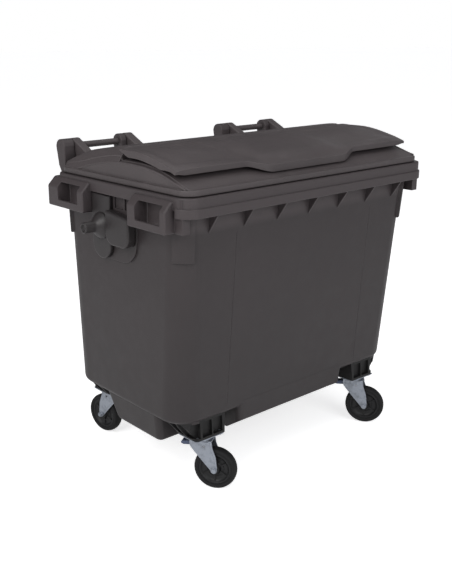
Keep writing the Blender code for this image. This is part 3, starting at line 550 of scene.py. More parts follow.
def rubber(name, colour, roughness=0.72):
    """Tyre compound: dusty, with a fine skin and paler edges that are partly wear and partly painted highlight."""
    mat, nodes, links, shader = new_material(name)
    place = nodes.new("ShaderNodeTexCoord").outputs["Object"]
    dust = node(nodes, "ShaderNodeTexNoise", Scale=42.0, Detail=5.0, Roughness=0.65)
    fine = node(nodes, "ShaderNodeTexNoise", Scale=1100.0, Detail=2.0)
    for tex in (dust, fine):
        links.new(place, tex.inputs["Vector"])
    tone = mix_colour(nodes, links, spread(nodes, links, dust.outputs["Fac"], 0.42, 0.72, 0.0, 0.55), colour, tuple(c * 2.4 + 0.003 for c in colour))
    shader.inputs["Specular IOR Level"].default_value = 0.30
    # paler edges, partly wear and partly painted highlight: convex edges are mixed towards a paler colour
    edge_rub_and_highlight = edge_mask(nodes, links, 0.0016)
    amount = nodes.new("ShaderNodeMath")
    amount.operation = "MULTIPLY"
    links.new(edge_rub_and_highlight, amount.inputs[0])
    amount.inputs[1].default_value = 0.4
    tone = mix_colour(nodes, links, amount.outputs["Value"], tone, tuple(c * 3.0 + 0.02 for c in colour))
    links.new(tone, shader.inputs["Base Color"])
    links.new(spread(nodes, links, dust.outputs["Fac"], 0.3, 0.7, roughness - 0.10, roughness + 0.08), shader.inputs["Roughness"])
    pit = node(nodes, "ShaderNodeBump", Strength=0.22, Distance=0.0005)
    links.new(fine.outputs["Fac"], pit.inputs["Height"])
    links.new(pit.outputs["Normal"], shader.inputs["Normal"])
    return mat


BODY_MAT = plastic("body_plastic_fine", BODY_COLOUR, 0.46, 0.16, edge_wear_and_highlight=0.85, low_painted_shade=0.55, corner=0.50, wide=0.0028)
LID_MAT = plastic("lid_plastic_fine", LID_COLOUR, 0.43, 0.14, edge_wear_and_highlight=0.90, corner=0.28, wide=0.0026)
DARK_MAT = plastic("trunnion_plastic_fine", DARK_COLOUR, 0.36, 0.14, edge_wear_and_highlight=0.60, scale=1.1, wide=0.0018)
CORE_MAT = plastic("wheel_core_fine", (0.0050, 0.0050, 0.0056), 0.45, 0.12, edge_wear_and_highlight=0.16, scale=1.3, wide=0.0014, corner=0.4)
# painted shade: a near-black copy of the body plastic for the shaded castor mounts
MOUNT_SHADE_MAT = plastic("mount_painted_shade", (0.0050, 0.0047, 0.0049), 0.55, 0.14, edge_wear_and_highlight=0.12, scale=1.1, wide=0.0018, corner=0.5)
PEDAL_MAT = plastic("pedal_plastic_fine", (0.060, 0.078, 0.135), 0.36, 0.12, edge_wear_and_highlight=0.30, scale=1.3, wide=0.0014, corner=0.4)
ZINC_MAT = metal("zinc_plate", (0.31, 0.335, 0.38), 0.36, (0.13, 0.14, 0.155), grime=0.75)
STEEL_MAT = metal("bright_steel", (0.36, 0.37, 0.40), 0.27, (0.16, 0.15, 0.15), scratch=0.5)
TYRE_MAT = rubber("tyre_rubber_fine", (0.0042, 0.0042, 0.0046))
SEAL_MAT = rubber("seal_rubber_fine", (0.018, 0.018, 0.018), 0.80)


# ---------------------------------------------------------------- body
def section(z, grow=0.0):
    """The tub's outline at height z: half x, front y, back y, corner radius."""
    t = (z - TUB_LOW[4]) / (TUB_TOP[4] - TUB_LOW[4])
    hx, yf, yb, r = (a + (b - a) * t for a, b in zip(TUB_LOW[:4], TUB_TOP[:4]))
    return hx + grow, yf - grow, yb + grow, max(r + grow, 0.004)


def tub(grow, z_low, z_high, fillet, n=12):
    rings = []
    for i in range(8):
        a = math.radians(90 * i / 7)
        inset = fillet * (1 - math.sin(a))
        z = z_low + fillet * (1 - math.cos(a))
        hx, yf, yb, r = section(z, grow)
        rings.append(rrect(hx - inset, yf + inset, yb - inset, max(r - inset, 0.01), z, n))
    for z in (0.5, 0.75, z_high):
        hx, yf, yb, r = section(z, grow)
        rings.append(rrect(hx, yf, yb, r, z, n))
    return loft(rings)


def sump(grow, z_low):
    """The cross-shaped well between the castor mounts: two tapered bars."""
    z_top = FLOOR_Z + 0.012
    across = taper((-0.543 - grow, 0.543 + grow, 0.2425 - grow, 0.515 + grow, z_low),
                   (-0.556 - grow, 0.556 + grow, 0.2385 - grow, 0.575 + grow, z_top))
    # the other bar comes up to the front wall, and its lower front edge is cut back
    profile = [(0.0952 - grow, z_top + 0.016), (0.1005 - grow, 0.212 - 0.6 * grow), (0.184 - 1.2 * grow, z_low - 0.0004),
               (0.679 + grow, z_low - 0.0004), (0.723 + grow, z_top), (0.723 + grow, z_top + 0.016)]
    wide = lambda z: 0.276 + grow + 0.012 * (z - z_low) / (z_top - z_low)
    along = loft([[(s * wide(z), y, z) for y, z in profile] for s in (-1, 1)])
    return across, along


def castor_mount(sx, cy):
    wide, deep = 0.0655, 0.053
    outer = loft([rrect(0.4895, 0.097, 0.753, 0.022, PLATE_Z, 8), rrect(0.5640, 0.1045, 0.7455, 0.088, FLOOR_Z + 0.0195, 8)])
    x0, x1 = CASTOR_X - wide, 0.7
    low = [x0, x1, cy - deep if cy > 0.4 else -0.1, cy + deep if cy < 0.4 else 0.9, PLATE_Z]
    high = [x0 - 0.010, x1, low[2] - (0.014 if cy > 0.4 else 0), low[3] + (0.014 if cy < 0.4 else 0), FLOOR_Z + 0.022]
    if sx < 0:
        low[0], low[1] = -low[1], -low[0]
        high[0], high[1] = -high[1], -high[0]
    low[4] -= 0.01
    high[4] += 0.01
    return common(outer, taper(low, high))


def mount_pockets(sx, cy):
    """Pockets in the outer faces of a castor mount, which leave upright ribs."""
    out = []
    front = cy < 0.4
    slope = (0.5640 - 0.4895) / (FLOOR_Z + 0.022 - PLATE_Z)
    for k in range(2):
        y0 = cy - 0.042 + k * 0.044
        z0, z1 = PLATE_Z + 0.009, FLOOR_Z + 0.002
        x0, x1 = (0.4895 + slope * (z - PLATE_Z) for z in (z0, z1))
        a = sorted((sx * (x0 - 0.014), sx * (x0 + 0.03)))
        b = sorted((sx * (x1 - 0.014), sx * (x1 + 0.03)))
        out.append(taper((a[0], a[1], y0, y0 + 0.039, z0), (b[0], b[1], y0, y0 + 0.039, z1)))
    for k in range(2):
        x0 = CASTOR_X - 0.058 + k * 0.050
        a = sorted((sx * x0, sx * (x0 + 0.045)))
        y = (0.05, 0.111) if front else (0.739, 0.80)
        out.append(box(a[0], a[1], y[0], y[1], PLATE_Z + 0.009, FLOOR_Z - 0.002))
    # corner pocket, under the rounded corner
    c = sorted((sx * (CASTOR_X + 0.046), sx * (CASTOR_X + 0.084)))
    y = (0.07, 0.118) if front else (0.732, 0.78)
    out.append(box(c[0], c[1], y[0], y[1], PLATE_Z + 0.009, FLOOR_Z - 0.002))
    return out


def lug_profile():
    arc = circle_profile(HINGE_Y + 0.001, HINGE_Z, 0.029, 24, -20, 210)
    return arc + [(0.7795, 1.135), (0.7795, 1.088), (0.752, 1.088), (0.752, 1.030), (0.774, 1.030), (0.800, 1.062), (0.826, 1.105)]


def loop_intervals(x0):
    return ((x0, x0 + 0.048), (x0 + 0.0495, x0 + 0.0845), (x0 + 0.0845, x0 + 0.262), (x0 + 0.2635, x0 + 0.2915), (x0 + 0.293, x0 + 0.332))


def side_loop(s, y0, y1):
    """A carrying handle under the side rim."""
    profile = [(0.575, 0.973), (0.647, 0.973), (0.647, 1.048), (0.6165, 1.079), (0.575, 1.079)]
    return soften(loft([[(s * x, y, z) for x, z in profile] for y in (y0, y1)]), 0.006, None, 4)


def post(sx, back):
    """A thickening of one upper corner below the rim."""
    rings = []
    for z, grow in ((0.866, 0.0095), (0.869, 0.0115), (1.070, 0.0118)):
        hx, yf, yb, r = section(z, grow)
        cx = hx - r
        cy = (yb - r) if back else (yf + r)
        pts = []
        for i in range(17):
            a = math.radians(23 + 46 * i / 16)
            pts.append((sx * (cx + r * math.cos(a)), cy + (1 if back else -1) * r * math.sin(a), z))
        pts.append((sx * (cx + (r - 0.030) * math.cos(math.radians(72))), cy + (1 if back else -1) * (r - 0.030) * math.sin(math.radians(72)), z))
        pts.append((sx * (cx + (r - 0.030) * math.cos(math.radians(20))), cy + (1 if back else -1) * (r - 0.030) * math.sin(math.radians(20)), z))
        if (sx < 0) != bool(back):
            pts = pts[::-1]
        rings.append(pts)
    return loft(rings)


def front_face(z):
    return section(z)[1]


def body():
    solid = tub(0.0, FLOOR_Z, RIM_TOP, FLOOR_FILLET)
    across, along = sump(0.0, SUMP_Z)
    for bm in (across, along):
        soften(bm, 0.024, upright, 5)
        soften(bm, 0.016, lambda e: lower_loop(e, SUMP_Z + 0.001), 4)
    rim = cut(soften(prism_z(RIM_HALF, 0.0, RIM_DEPTH, RIM_R, RIM_TOP - BAND_SIDE, RIM_TOP), 0.004, lambda e: all(v.co.z > RIM_TOP - 0.001 for v in e.verts), 3),
              prism_z(RIM_HALF - 0.006, 0.006, RIM_DEPTH - 0.006, RIM_R - 0.006, 0.9, RIM_TOP - 0.007))
    band = cut(soften(prism_z(RIM_HALF + BAND_PROUD, -BAND_PROUD, RIM_DEPTH + BAND_PROUD, RIM_R + BAND_PROUD, BAND_LOW, BAND_SPLIT), 0.0035,
                      lambda e: abs(e.verts[0].co.z - e.verts[1].co.z) < 1e-5, 3),
               prism_z(RIM_HALF - 0.004, 0.004, RIM_DEPTH - 0.004, RIM_R - 0.004, 0.9, 1.2),
               box(-1, 1, 0.052, 1, 0.9, 1.2))
    pieces = [across, along, rim, band]
    for k in range(-3, 4):
        x = k * 0.158
        pieces.append(prism_x([(0.003, RIM_TOP - 0.004), (0.003, BAND_LOW + 0.002), (0.0525, 0.955), (0.062, 0.955), (0.062, RIM_TOP - 0.0041)], x - 0.003, x + 0.003))
    for s in (-1, 1):
        for y0, y1 in ((0.065, 0.267), (0.5335, 0.766)):
            pieces.append(side_loop(s, y0, y1))
        pieces.append(box(min(s * 0.576, s * 0.606), max(s * 0.576, s * 0.606), 0.026, 0.0705, 0.9745, RIM_TOP - 0.0045))
        outline = ([(0.290, RIM_TOP - 0.005)] + circle_profile(0.372, 0.897, 0.082, 14, 180, 90) + circle_profile(0.4585, 0.897, 0.082, 14, 270, 90) + [(0.5405, RIM_TOP - 0.005)])
        pieces.append(soften(prism_x(outline, min(s * 0.577, s * PAD_X), max(s * 0.577, s * PAD_X)), 0.0025, lambda e: abs(e.verts[0].co.x - e.verts[1].co.x) < 1e-6, 3))
    for sx in (-1, 1):
        for back in (0, 1):
            pieces.append(post(sx, back))
    for x0 in LOOP_STARTS:
        spans = loop_intervals(x0)
        for a, b in (spans[0], spans[3]):
            pieces.append(soften(prism_x(lug_profile(), a, b), 0.0035, lambda e: abs(e.verts[0].co.x - e.verts[1].co.x) < 1e-6, 3))
    for sx in (-1, 1):
        for cy in (CASTOR_YF, CASTOR_YB):
            pieces.append(castor_mount(sx, cy))
    bm = add(solid, *pieces)

    cutters = [tub(-WALL, FLOOR_Z + WALL, RIM_TOP + 0.02, FLOOR_FILLET - WALL * 0.5)]
    inner_a, inner_b = sump(-WALL, SUMP_Z + WALL)
    for c in (inner_a, inner_b):
        soften(c, 0.019, upright, 3)
        soften(c, 0.012, lambda e: lower_loop(e, SUMP_Z + WALL + 0.001), 3)
    cutters += [inner_a, inner_b]
    for s in (-1, 1):
        for y0, y1 in ((0.089, 0.222), (0.566, 0.697)):
            opening = loft([[(s * x, y, z) for x, z in ((0.5925, 0.90), (0.6335, 0.90), (0.6335, 0.9995), (0.70, 0.9995), (0.70, 1.042), (0.62, 1.0675), (0.5925, 1.0675))] for y in (y0, y1)])
            cutters.append(soften(opening, 0.0045, None, 3))
    for x0 in LOOP_STARTS:
        spans = loop_intervals(x0)
        cutters.append(turned([(spans[0][1] - 0.020, HINGE_R + CLEAR), (spans[3][1] + 0.010, HINGE_R + CLEAR)], (1, 0, 0), (0, HINGE_Y, HINGE_Z), 40))
    for sx in (-1, 1):
        for cy in (CASTOR_YF, CASTOR_YB):
            for dx in (-0.0525, 0.0525):
                for dy in (-0.040, 0.040):
                    cutters.append(turned([(PLATE_Z - 0.01, 0.0055), (PLATE_Z + 0.026, 0.0055)], (0, 0, 1), (sx * CASTOR_X + dx, cy + dy, 0), 12))
            cutters.append(turned([(PLATE_Z - 0.01, 0.013), (PLATE_Z + 0.014, 0.013)], (0, 0, 1), (sx * CASTOR_X, cy, 0), 24))
    cutters.append(turned([(SUMP_Z - 0.02, 0.0205), (SUMP_Z + 0.03, 0.0205)], (0, 0, 1), (0.0, 0.62, 0), 40))
    for s in (-1, 1):
        cutters.append(turned([(0.50, SPIGOT_R + CLEAR), (0.62, SPIGOT_R + CLEAR)], (s, 0, 0), (0, TRUN_Y, TRUN_Z), 40))
        for cy in (CASTOR_YF, CASTOR_YB):
            cutters += mount_pockets(s, cy)
    # a ribbed recess in each side pad, above the bracket lobe
    for s in (-1, 1):
        for y0, y1 in ((0.300, 0.352), (0.359, 0.412)):
            cutters.append(soften(box(min(s * 0.5842, s * 0.62), max(s * 0.5842, s * 0.62), y0, y1, 1.004, 1.046), 0.0025, None, 2))
    # fine upright joints of the mould in the front wall
    for x in (-0.349, 0.349):
        z0, z1 = 0.300, 0.945
        cutters.append(prism_x([(front_face(z0) - 0.004, z0), (front_face(z0) + 0.0009, z0), (front_face(z1) + 0.0009, z1), (front_face(z1) - 0.004, z1)], x - 0.0011, x + 0.0011))
    return cut(bm, *cutters)


piece("body_visual", body(), BODY_MAT, "container", ("body_shell",), smooth=34, bevel=0.0012, segments=2)
shell = bpy.data.objects["body_visual"].data
# painted shade: the castor-mount faces of the one-piece body take the near-black copy of its plastic
shell.materials.append(MOUNT_SHADE_MAT)
for face in shell.polygons:
    at = face.center - SHIFT
    if abs(at.x) > 0.345 and at.z < 0.262 and (at.y < 0.212 or at.y > 0.636):
        face.material_index = 1


# ---------------------------------------------------------------- main lid
RIDGE = [(0.022, 1.1125), (0.3894, 1.183), (0.3896, 1.2115), (0.395, 1.2145), (0.440, 1.2115), (0.504, 1.201), (0.570, 1.190),
         (0.633, 1.1775), (0.698, 1.157), (0.745, 1.140), (0.762, 1.132)]
REAR = RIDGE[2:]
SEAT = [(0.020, 1.1125), (0.028, 1.1135), (0.040, 1.117), (0.089, 1.134), (0.125, 1.148), (0.165, 1.159), (0.215, 1.169), (0.272, 1.174), (0.330, 1.174), (0.3895, 1.172)]
ARC = [(0.022, 1.1125), (0.0446, 1.1160), (0.0834, 1.127), (0.159, 1.1485), (0.220, 1.158), (0.266, 1.162), (0.320, 1.164), (0.380, 1.163), (0.4695, 1.156),
       (0.5655, 1.137), (0.640, 1.1165), (0.687, 1.1135), (0.764, 1.1135)]
LID_HALF, LID_R = 0.585, 0.047
LID_T = 0.0045


def lid_top(x, y, j=None):
    """Height of the roof: a flat-topped dome whose ends fall to the curved edge of the end walls."""
    rear = j >= STEP if j is not None else y > 0.3895
    middle = smooth_table(REAR, y) if rear else smooth_table(SEAT, y)
    edge = min(smooth_table(ARC, y), middle - 0.001)
    reach = 0.050 if rear else 0.030
    t = min((LID_HALF - abs(x)) / reach, 1.0)
    t = 1 - (1 - t) ** 1.7
    return edge + (middle - edge) * t


YS = [0.022, 0.025, 0.029, 0.034, 0.040, 0.048] + [0.058 + (0.3885 - 0.058) * i / 26 for i in range(27)] + [0.3893]
STEP = len(YS)
YS += [0.3897, 0.3915, 0.395] + [0.401 + (0.755 - 0.401) * i / 28 for i in range(29)] + [0.7595, 0.762]
XS = [-LID_HALF, -LID_HALF + 0.0012, -LID_HALF + 0.003] + [-LID_HALF + 0.006 + 0.054 * i / 10 for i in range(11)]
XS += [-0.505 + 1.010 * i / 40 for i in range(41)] + [-v for v in XS[::-1]]
XS = sorted(set(round(v, 6) for v in XS))


def lid_lug(x0, x1):
    arc = circle_profile(HINGE_Y, HINGE_Z, 0.0295, 26, -65, 190)
    return soften(prism_x(arc + [(0.735, 1.172), (0.700, 1.152), (0.700, 1.130), (0.757, 1.130), (0.757, 1.118), (0.790, 1.118)], x0, x1), 0.0035,
                  lambda e: abs(e.verts[0].co.x - e.verts[1].co.x) < 1e-6, 3)


def lid():
    flange = soften(prism_z(0.596, 0.012, 0.764, 0.052, 1.0926, 1.113, 16), 0.0035, lambda e: abs(e.verts[0].co.z - e.verts[1].co.z) < 1e-5, 3)
    roof = shell_grid(XS, lambda x: YS, lid_top, lambda x, y, j: 1.098)
    dome = common(roof, prism_z(LID_HALF, 0.022, 0.762, LID_R, 1.05, 1.3, 20))
    bm = add(dome, flange)
    # hollow below, following the roof
    inner_xs = [x * 0.9675 for x in XS]
    ys = [0.028 + (y - 0.022) * (0.757 - 0.028) / (0.762 - 0.022) for y in YS]

    def under(x, y, j):
        rear = j >= STEP
        outer = lid_top(x / 0.9675, YS[j], j)
        return max(outer - (LID_T + (0.002 if rear else 0.0)), 1.060 + 0.0002 * 0)

    hollow = shell_grid(inner_xs, lambda x: ys, under, lambda x, y, j: 1.05)
    bm = cut(bm, common(hollow, prism_z(0.566, 0.028, 0.757, LID_R - 0.006, 1.0, 1.3, 12)),
             prism_z(0.588, 0.020, 0.756, 0.044, 1.0, 1.104, 12), soften(prism_z(0.500, 0.120, 0.345, 0.030, 1.0, 1.3, 8), 0.001, lambda e: False))
    extra = []
    for x in FLAP_HINGES:
        for a, b in ((x - 0.026, x - 0.016), (x + 0.016, x + 0.026)):
            extra.append(prism_x(circle_profile(FLAP_Y, FLAP_Z, 0.0055, 20, -100, 280) + [(0.350, 1.168), (0.362, 1.168)], a, b))
    for x0 in LOOP_STARTS:
        spans = loop_intervals(x0)
        extra += [lid_lug(*spans[1]), lid_lug(*spans[4])]
    # beads along the curved edge of each end wall
    for s in (-1, 1):
        path = []
        for i in range(61):
            y = 0.036 + (0.735 - 0.036) * i / 60
            path.append((s * (LID_HALF - 0.0016), y, lid_top(LID_HALF, y) + 0.0004))
        extra.append(pipe(path, 0.0036))
        path = [(s * (LID_HALF - 0.0145), y, lid_top(LID_HALF - 0.0145, y) - 0.0006) for _, y, _ in path]
        extra.append(pipe(path, 0.0024))
    bm = add(bm, *extra)
    cutters = []
    for x0 in LOOP_STARTS:
        spans = loop_intervals(x0)
        cutters.append(turned([(spans[1][0] - 0.01, HINGE_R + 0.0008), (spans[4][1] - 0.008, HINGE_R + 0.0008)], (1, 0, 0), (0, HINGE_Y, HINGE_Z), 40))
    for x in FLAP_HINGES:
        cutters.append(turned([(x - 0.0235, FLAP_PIN_R + CLEAR), (x + 0.0235, FLAP_PIN_R + CLEAR)], (1, 0, 0), (0, FLAP_Y, FLAP_Z), 16))
    return cut(bm, *cutters)


piece("lid_visual", lid(), LID_MAT, "lid", ("main_lid",), smooth=36, bevel=0.0010, segments=2)


# ---------------------------------------------------------------- inner flap
FLAP_HALF = 0.585
FLAP_BACK = 0.3845
FLAP_SKIN = 0.0045
FLAP_TOP = [(0.052, 1.1525), (0.085, 1.1655), (0.126, 1.1750), (0.179, 1.186), (0.233, 1.1965), (0.291, 1.204), (0.330, 1.208), (0.3845, 1.2125)]


def flap_front(x):
    return 0.052 + ramp(0.178, 0.284, abs(x)) * 0.033


def flap_top(x, y):
    z = smooth_table(FLAP_TOP, y)
    ends = 0.0085 * ramp(0.30, 0.50, abs(x)) * ramp(0.060, 0.150, y) * (1 - ramp(0.260, 0.3845, y)) - 0.004 * ramp(0.50, 0.585, abs(x)) * (1 - ramp(0.085, 0.20, y))
    pillow = 0.0105 * (1 - ramp(0.155, 0.255, abs(x))) * ramp(0.062, 0.125, y) * (1 - ramp(0.285, 0.350, y))
    wing = 0.004 * ramp(0.20, 0.30, abs(x)) * (1 - ramp(0.085, 0.16, y))
    field = -0.0022 * ramp(0.262, 0.272, abs(x)) * (1 - ramp(0.545, 0.555, abs(x))) * ramp(0.118, 0.128, y) * (1 - ramp(0.335, 0.345, y))
    edge = 0.0028 * ramp(0.562, 0.584, abs(x))
    return z + pillow + ends + wing + field - edge


def flap_lip(x):
    return 1.1275 + ramp(0.178, 0.284, abs(x)) * 0.0235 + ramp(0.540, 0.578, abs(x)) * 0.0045


def flap():
    edge = FLAP_SKIN
    inner = [-FLAP_HALF + edge + 0.001 + (2 * FLAP_HALF - 2 * edge - 0.002) * i / 116 for i in range(117)]
    xs = sorted([-FLAP_HALF, -FLAP_HALF + edge] + inner + [FLAP_HALF - edge, FLAP_HALF])
    ny = 44

    def ys_of(x):
        y0 = flap_front(x)
        return [y0, y0 + edge, y0 + edge + 0.001] + [y0 + edge + 0.001 + (FLAP_BACK - y0 - edge - 0.001) * j / ny for j in range(1, ny + 1)]

    def low(x, y, j):
        z = flap_top(x, y) - FLAP_SKIN
        if j < 2:
            return flap_lip(x)
        if abs(x) > FLAP_HALF - edge - 0.0002:
            z = flap_top(x, y) - (0.010 + 0.013 * ramp(0.100, 0.170, y) * (1 - ramp(0.330, 0.372, y)) if y < 0.375 else FLAP_SKIN)
            z = max(z, flap_lip(x)) if y < 0.2 else z
        return z

    bm = shell_grid(xs, ys_of, lambda x, y, j: flap_top(x, y), low)
    knuckles, cutters = [], []
    for x in FLAP_HINGES:
        knuckles.append(prism_x(circle_profile(FLAP_Y, FLAP_Z, 0.006, 16, -150, 210) + [(0.350, 1.2095), (0.340, 1.2080)], x - 0.0155, x + 0.0155))
        cutters.append(turned([(x - 0.025, FLAP_PIN_R + 0.0006), (x + 0.025, FLAP_PIN_R + 0.0006)], (1, 0, 0), (0, FLAP_Y, FLAP_Z), 16))
        for a, b in ((x - 0.027, x - 0.0157), (x + 0.0157, x + 0.027)):
            cutters.append(prism_x(circle_profile(FLAP_Y, FLAP_Z, 0.0066, 16, -30, 210) + [(0.350, 1.196), (0.395, 1.196)], a, b))
    bm = add(bm, *knuckles)
    return cut(bm, *cutters)


piece("flap_visual", flap(), LID_MAT, "flap", ("inner_flap",), smooth=40, bevel=0.0018, segments=3)

for x0, side in zip(LOOP_STARTS, ("left", "right")):
    piece(f"hinge_bar_visual_{side}", turned([(x0 + 0.0285, HINGE_R - 0.001), (x0 + 0.0295, HINGE_R), (x0 + 0.3215, HINGE_R), (x0 + 0.3225, HINGE_R - 0.001)],
                                             (1, 0, 0), (0, HINGE_Y, HINGE_Z), 48), LID_MAT, "container", (f"lid_hinge_bar_{side}",))


# ---------------------------------------------------------------- trunnions
def span(s, a, b):
    return min(s * a, s * b), max(s * a, s * b)


def bracket(s):
    x0, x1, x2 = PAD_X + CLEAR, 0.609, 0.6300
    along = lambda e: abs(e.verts[0].co.x - e.verts[1].co.x) < 1e-6
    plate = soften(prism_x([(0.421, 1.046), (0.421, 0.870)] + circle_profile(0.4765, 0.870, 0.0555, 28, 180, 180)[1:-1] + [(0.532, 0.870), (0.532, 1.046)],
                           *span(s, x0, x1)), 0.0050, along, 4)
    lobe = soften(prism_x([(0.421, 0.999), (0.287, 0.986), (0.287, 0.920)] + circle_profile(0.327, 0.920, 0.040, 14, 180, 90)[1:] + circle_profile(0.381, 0.920, 0.040, 14, 270, 90)[:-1] + [(0.421, 0.920)],
                          *span(s, x0, x2)), 0.0075, along, 5)
    bm = add(plate, lobe)
    cutters = [turned([(0.58, SPIGOT_R + CLEAR), (0.66, SPIGOT_R + CLEAR)], (s, 0, 0), (0, TRUN_Y, TRUN_Z), 40)]
    return cut(bm, *cutters)


PIN_PROFILE = [(0.5600, SPIGOT_R), (0.6094, SPIGOT_R), (0.6094, 0.0465), (0.6101, 0.0474), (0.6110, 0.0480), (0.6122, 0.0480), (0.6132, 0.0474), (0.6165, 0.0452),
               (0.6225, 0.0400), (0.6290, 0.0340), (0.6332, 0.0296), (0.6362, 0.0258), (0.6386, 0.0232), (0.6412, 0.0212), (0.6440, TRUN_R),
               (TRUN_TIP - 0.0040, TRUN_R), (TRUN_TIP - 0.0018, TRUN_R - 0.0006), (TRUN_TIP - 0.0004, TRUN_R - 0.0020), (TRUN_TIP, TRUN_R - 0.0036),
               (TRUN_TIP - 0.0002, 0.0142), (TRUN_TIP - 0.0014, 0.0132), (TRUN_TIP - 0.0052, 0.0126), (TRUN_TIP - 0.0060, 0.0118), (TRUN_TIP - 0.0060, 0.0050),
               (TRUN_TIP - 0.0044, 0.0040), (TRUN_TIP - 0.0040, 0.0028)]

for s, side in ((-1, "left"), (1, "right")):
    piece(f"bracket_visual_{side}", bracket(s), DARK_MAT, "container", (f"trunnion_bracket_{side}",), smooth=34, bevel=0.0008)
    piece(f"pin_visual_{side}", turned(PIN_PROFILE, (s, 0, 0), (0, TRUN_Y, TRUN_Z), 72), DARK_MAT, "container", (f"trunnion_pin_{side}",), smooth=50, weighted=False)
    nut = ring_solid([(0.5700, SPIGOT_R + CLEAR), (0.5810, SPIGOT_R + CLEAR), (0.5810, 0.0245), (0.5800, 0.0258), (0.5710, 0.0235), (0.5700, 0.0220)],
                     (s, 0, 0), (0, TRUN_Y, TRUN_Z), 6)
    piece(f"spigot_nut_visual_{side}", nut, STEEL_MAT, "container", (f"trunnion_nut_{side}",), smooth=30, bevel=0.0006)

# ---------------------------------------------------------------- drain
plug = turned([(0.1410, 0.0215), (0.1414, 0.0235), (0.1426, 0.0255), (0.1440, 0.0265), (0.1482, 0.0265), (0.1490, 0.0258), (0.1490, 0.0200), (0.1615, 0.0200), (0.1628, 0.0195), (0.1635, 0.0185)],
              (0, 0, 1), (0, 0.620, 0), 56)
plug = cut(plug, *[soften(box(-0.0185 if k else -0.0028, 0.0185 if k else 0.0028, 0.620 - (0.0028 if k else 0.0185), 0.620 + (0.0028 if k else 0.0185), 0.1380, 0.1445), 0.0008, None, 2) for k in (0, 1)])
piece("plug_visual", plug, CORE_MAT, "plug", ("drain_plug",), smooth=40, bevel=0.0005)
piece("seal_visual", ring_solid([(0.1494, 0.0206), (0.1498, 0.0204), (0.1522, 0.0204), (0.1526, 0.0206), (0.1526, 0.0250), (0.1520, 0.0255), (0.1500, 0.0255), (0.1494, 0.0250)],
                                (0, 0, 1), (0, 0.620, 0), 48), SEAL_MAT, "container", ("drain_seal",), weighted=False)

# ---------------------------------------------------------------- castors
TRAIL = 0.055
AXLE = (TRAIL, 0.0, WHEEL_R - LIFT)
PIVOT = (0.018, 0.0, 0.151)


def top_plate():
    plate = soften(box(-0.0675, 0.0675, -0.0525, 0.0525, 0.1878, 0.1916), 0.009, upright, 5)
    soften(plate, 0.0008, lambda e: abs(e.verts[0].co.z - e.verts[1].co.z) < 1e-6, 2)
    race = turned([(0.1832, 0.0300), (0.1838, 0.0310), (0.1862, 0.0322), (0.1885, 0.0345)], (0, 0, 1), (0, 0, 0), 48)
    studs = []
    for dx in (-0.0525, 0.0525):
        for dy in (-0.040, 0.040):
            studs.append(turned([(0.1890, 0.0046), (0.1990, 0.0048), (0.1996, 0.0044)], (0, 0, 1), (dx, dy, 0), 20))
            studs.append(turned([(0.1830, 0.0078), (0.1838, 0.0086), (0.1882, 0.0086)], (0, 0, 1), (dx, dy, 0), 6))
    bm = add(plate, race, *studs)
    return cut(bm, turned([(0.170, 0.0068), (0.200, 0.0068)], (0, 0, 1), (0, 0, 0), 32))


def fork():
    """The pressed housing: a domed crown with two arms that taper to the axle, flanged along their edges."""
    crown = turned([(0.1700, 0.0290), (0.1712, 0.0350), (0.1745, 0.0372), (0.1775, 0.0362), (0.1790, 0.0345)], (0, 0, 1), (0, 0, 0), 56)
    top = soften(box(-0.0315, 0.0455, -0.0285, 0.0285, 0.1696, 0.1736), 0.010, upright, 4)
    arms = []
    ax, az = AXLE[0], AXLE[2]
    outline = ([(-0.0355, 0.1735), (-0.0372, 0.1640), (-0.0365, 0.1520), (-0.0325, 0.1440), (-0.0180, 0.1260)] +
               arc_xz(ax, az, 0.0112, 16, 212, 150) + [(ax + 0.0116, az + 0.012), (ax + 0.0070, az + 0.052), (0.0490, 0.1480), (0.0455, 0.1735)])
    ridge = ([(-0.0270, 0.1700), (-0.0285, 0.1560), (-0.0245, 0.1460), (-0.0080, 0.1260)] + [(ax - 0.0075, az + 0.004)] +
             [(ax + 0.0045, az + 0.006), (ax + 0.0020, az + 0.040), (0.0410, 0.1480), (0.0380, 0.1700)])
    flat = lambda e: abs(e.verts[0].co.y - e.verts[1].co.y) < 1e-6
    for sgn in (-1, 1):
        y0, y1 = sorted((sgn * 0.0257, sgn * 0.0285))
        arms.append(soften(prism_y(outline, y0, y1), 0.0006, flat, 2))
        y0, y1 = sorted((sgn * 0.0262, sgn * 0.0303))
        arms.append(soften(prism_y(ridge, y0, y1), 0.0016, flat, 3))
        # raised boss round the axle
        boss = turned([(0.0260, 0.0106), (0.0305, 0.0106), (0.0312, 0.0098)], (0, sgn, 0), (ax, 0, az), 32)
        arms.append(boss)
    bm = add(crown, top, *arms)
    return cut(bm, turned([(-0.04, 0.0065), (0.04, 0.0065)], (0, 1, 0), AXLE, 24), turned([(0.16, 0.0069), (0.20, 0.0069)], (0, 0, 1), (0, 0, 0), 24),
               turned([(-0.04, 0.0046), (0.04, 0.0046)], (0, 1, 0), PIVOT, 20))


KINGPIN = [(0.1650, 0.0050), (0.1655, 0.0088), (0.1660, 0.0095), (0.1690, 0.0095), (0.1695, 0.0090), (0.1695, 0.0060), (0.1920, 0.0060), (0.1920, 0.0110), (0.1975, 0.0110), (0.1985, 0.0102)]


def core_profile():
    half = [(0.0235, 0.0102), (0.0235, 0.0150), (0.0228, 0.0165), (0.0195, 0.0185), (0.0120, 0.0210), (0.0085, 0.0240), (0.0078, 0.0290), (0.0098, 0.0300), (0.0098, 0.0325),
            (0.0078, 0.0335), (0.0074, 0.0430), (0.0092, 0.0480), (0.0130, 0.0515), (0.0158, 0.0535), (0.0165, 0.0545), (0.0165, 0.0592), (0.0160, 0.0600)]
    return half + [(-d, r) for d, r in half[::-1]]


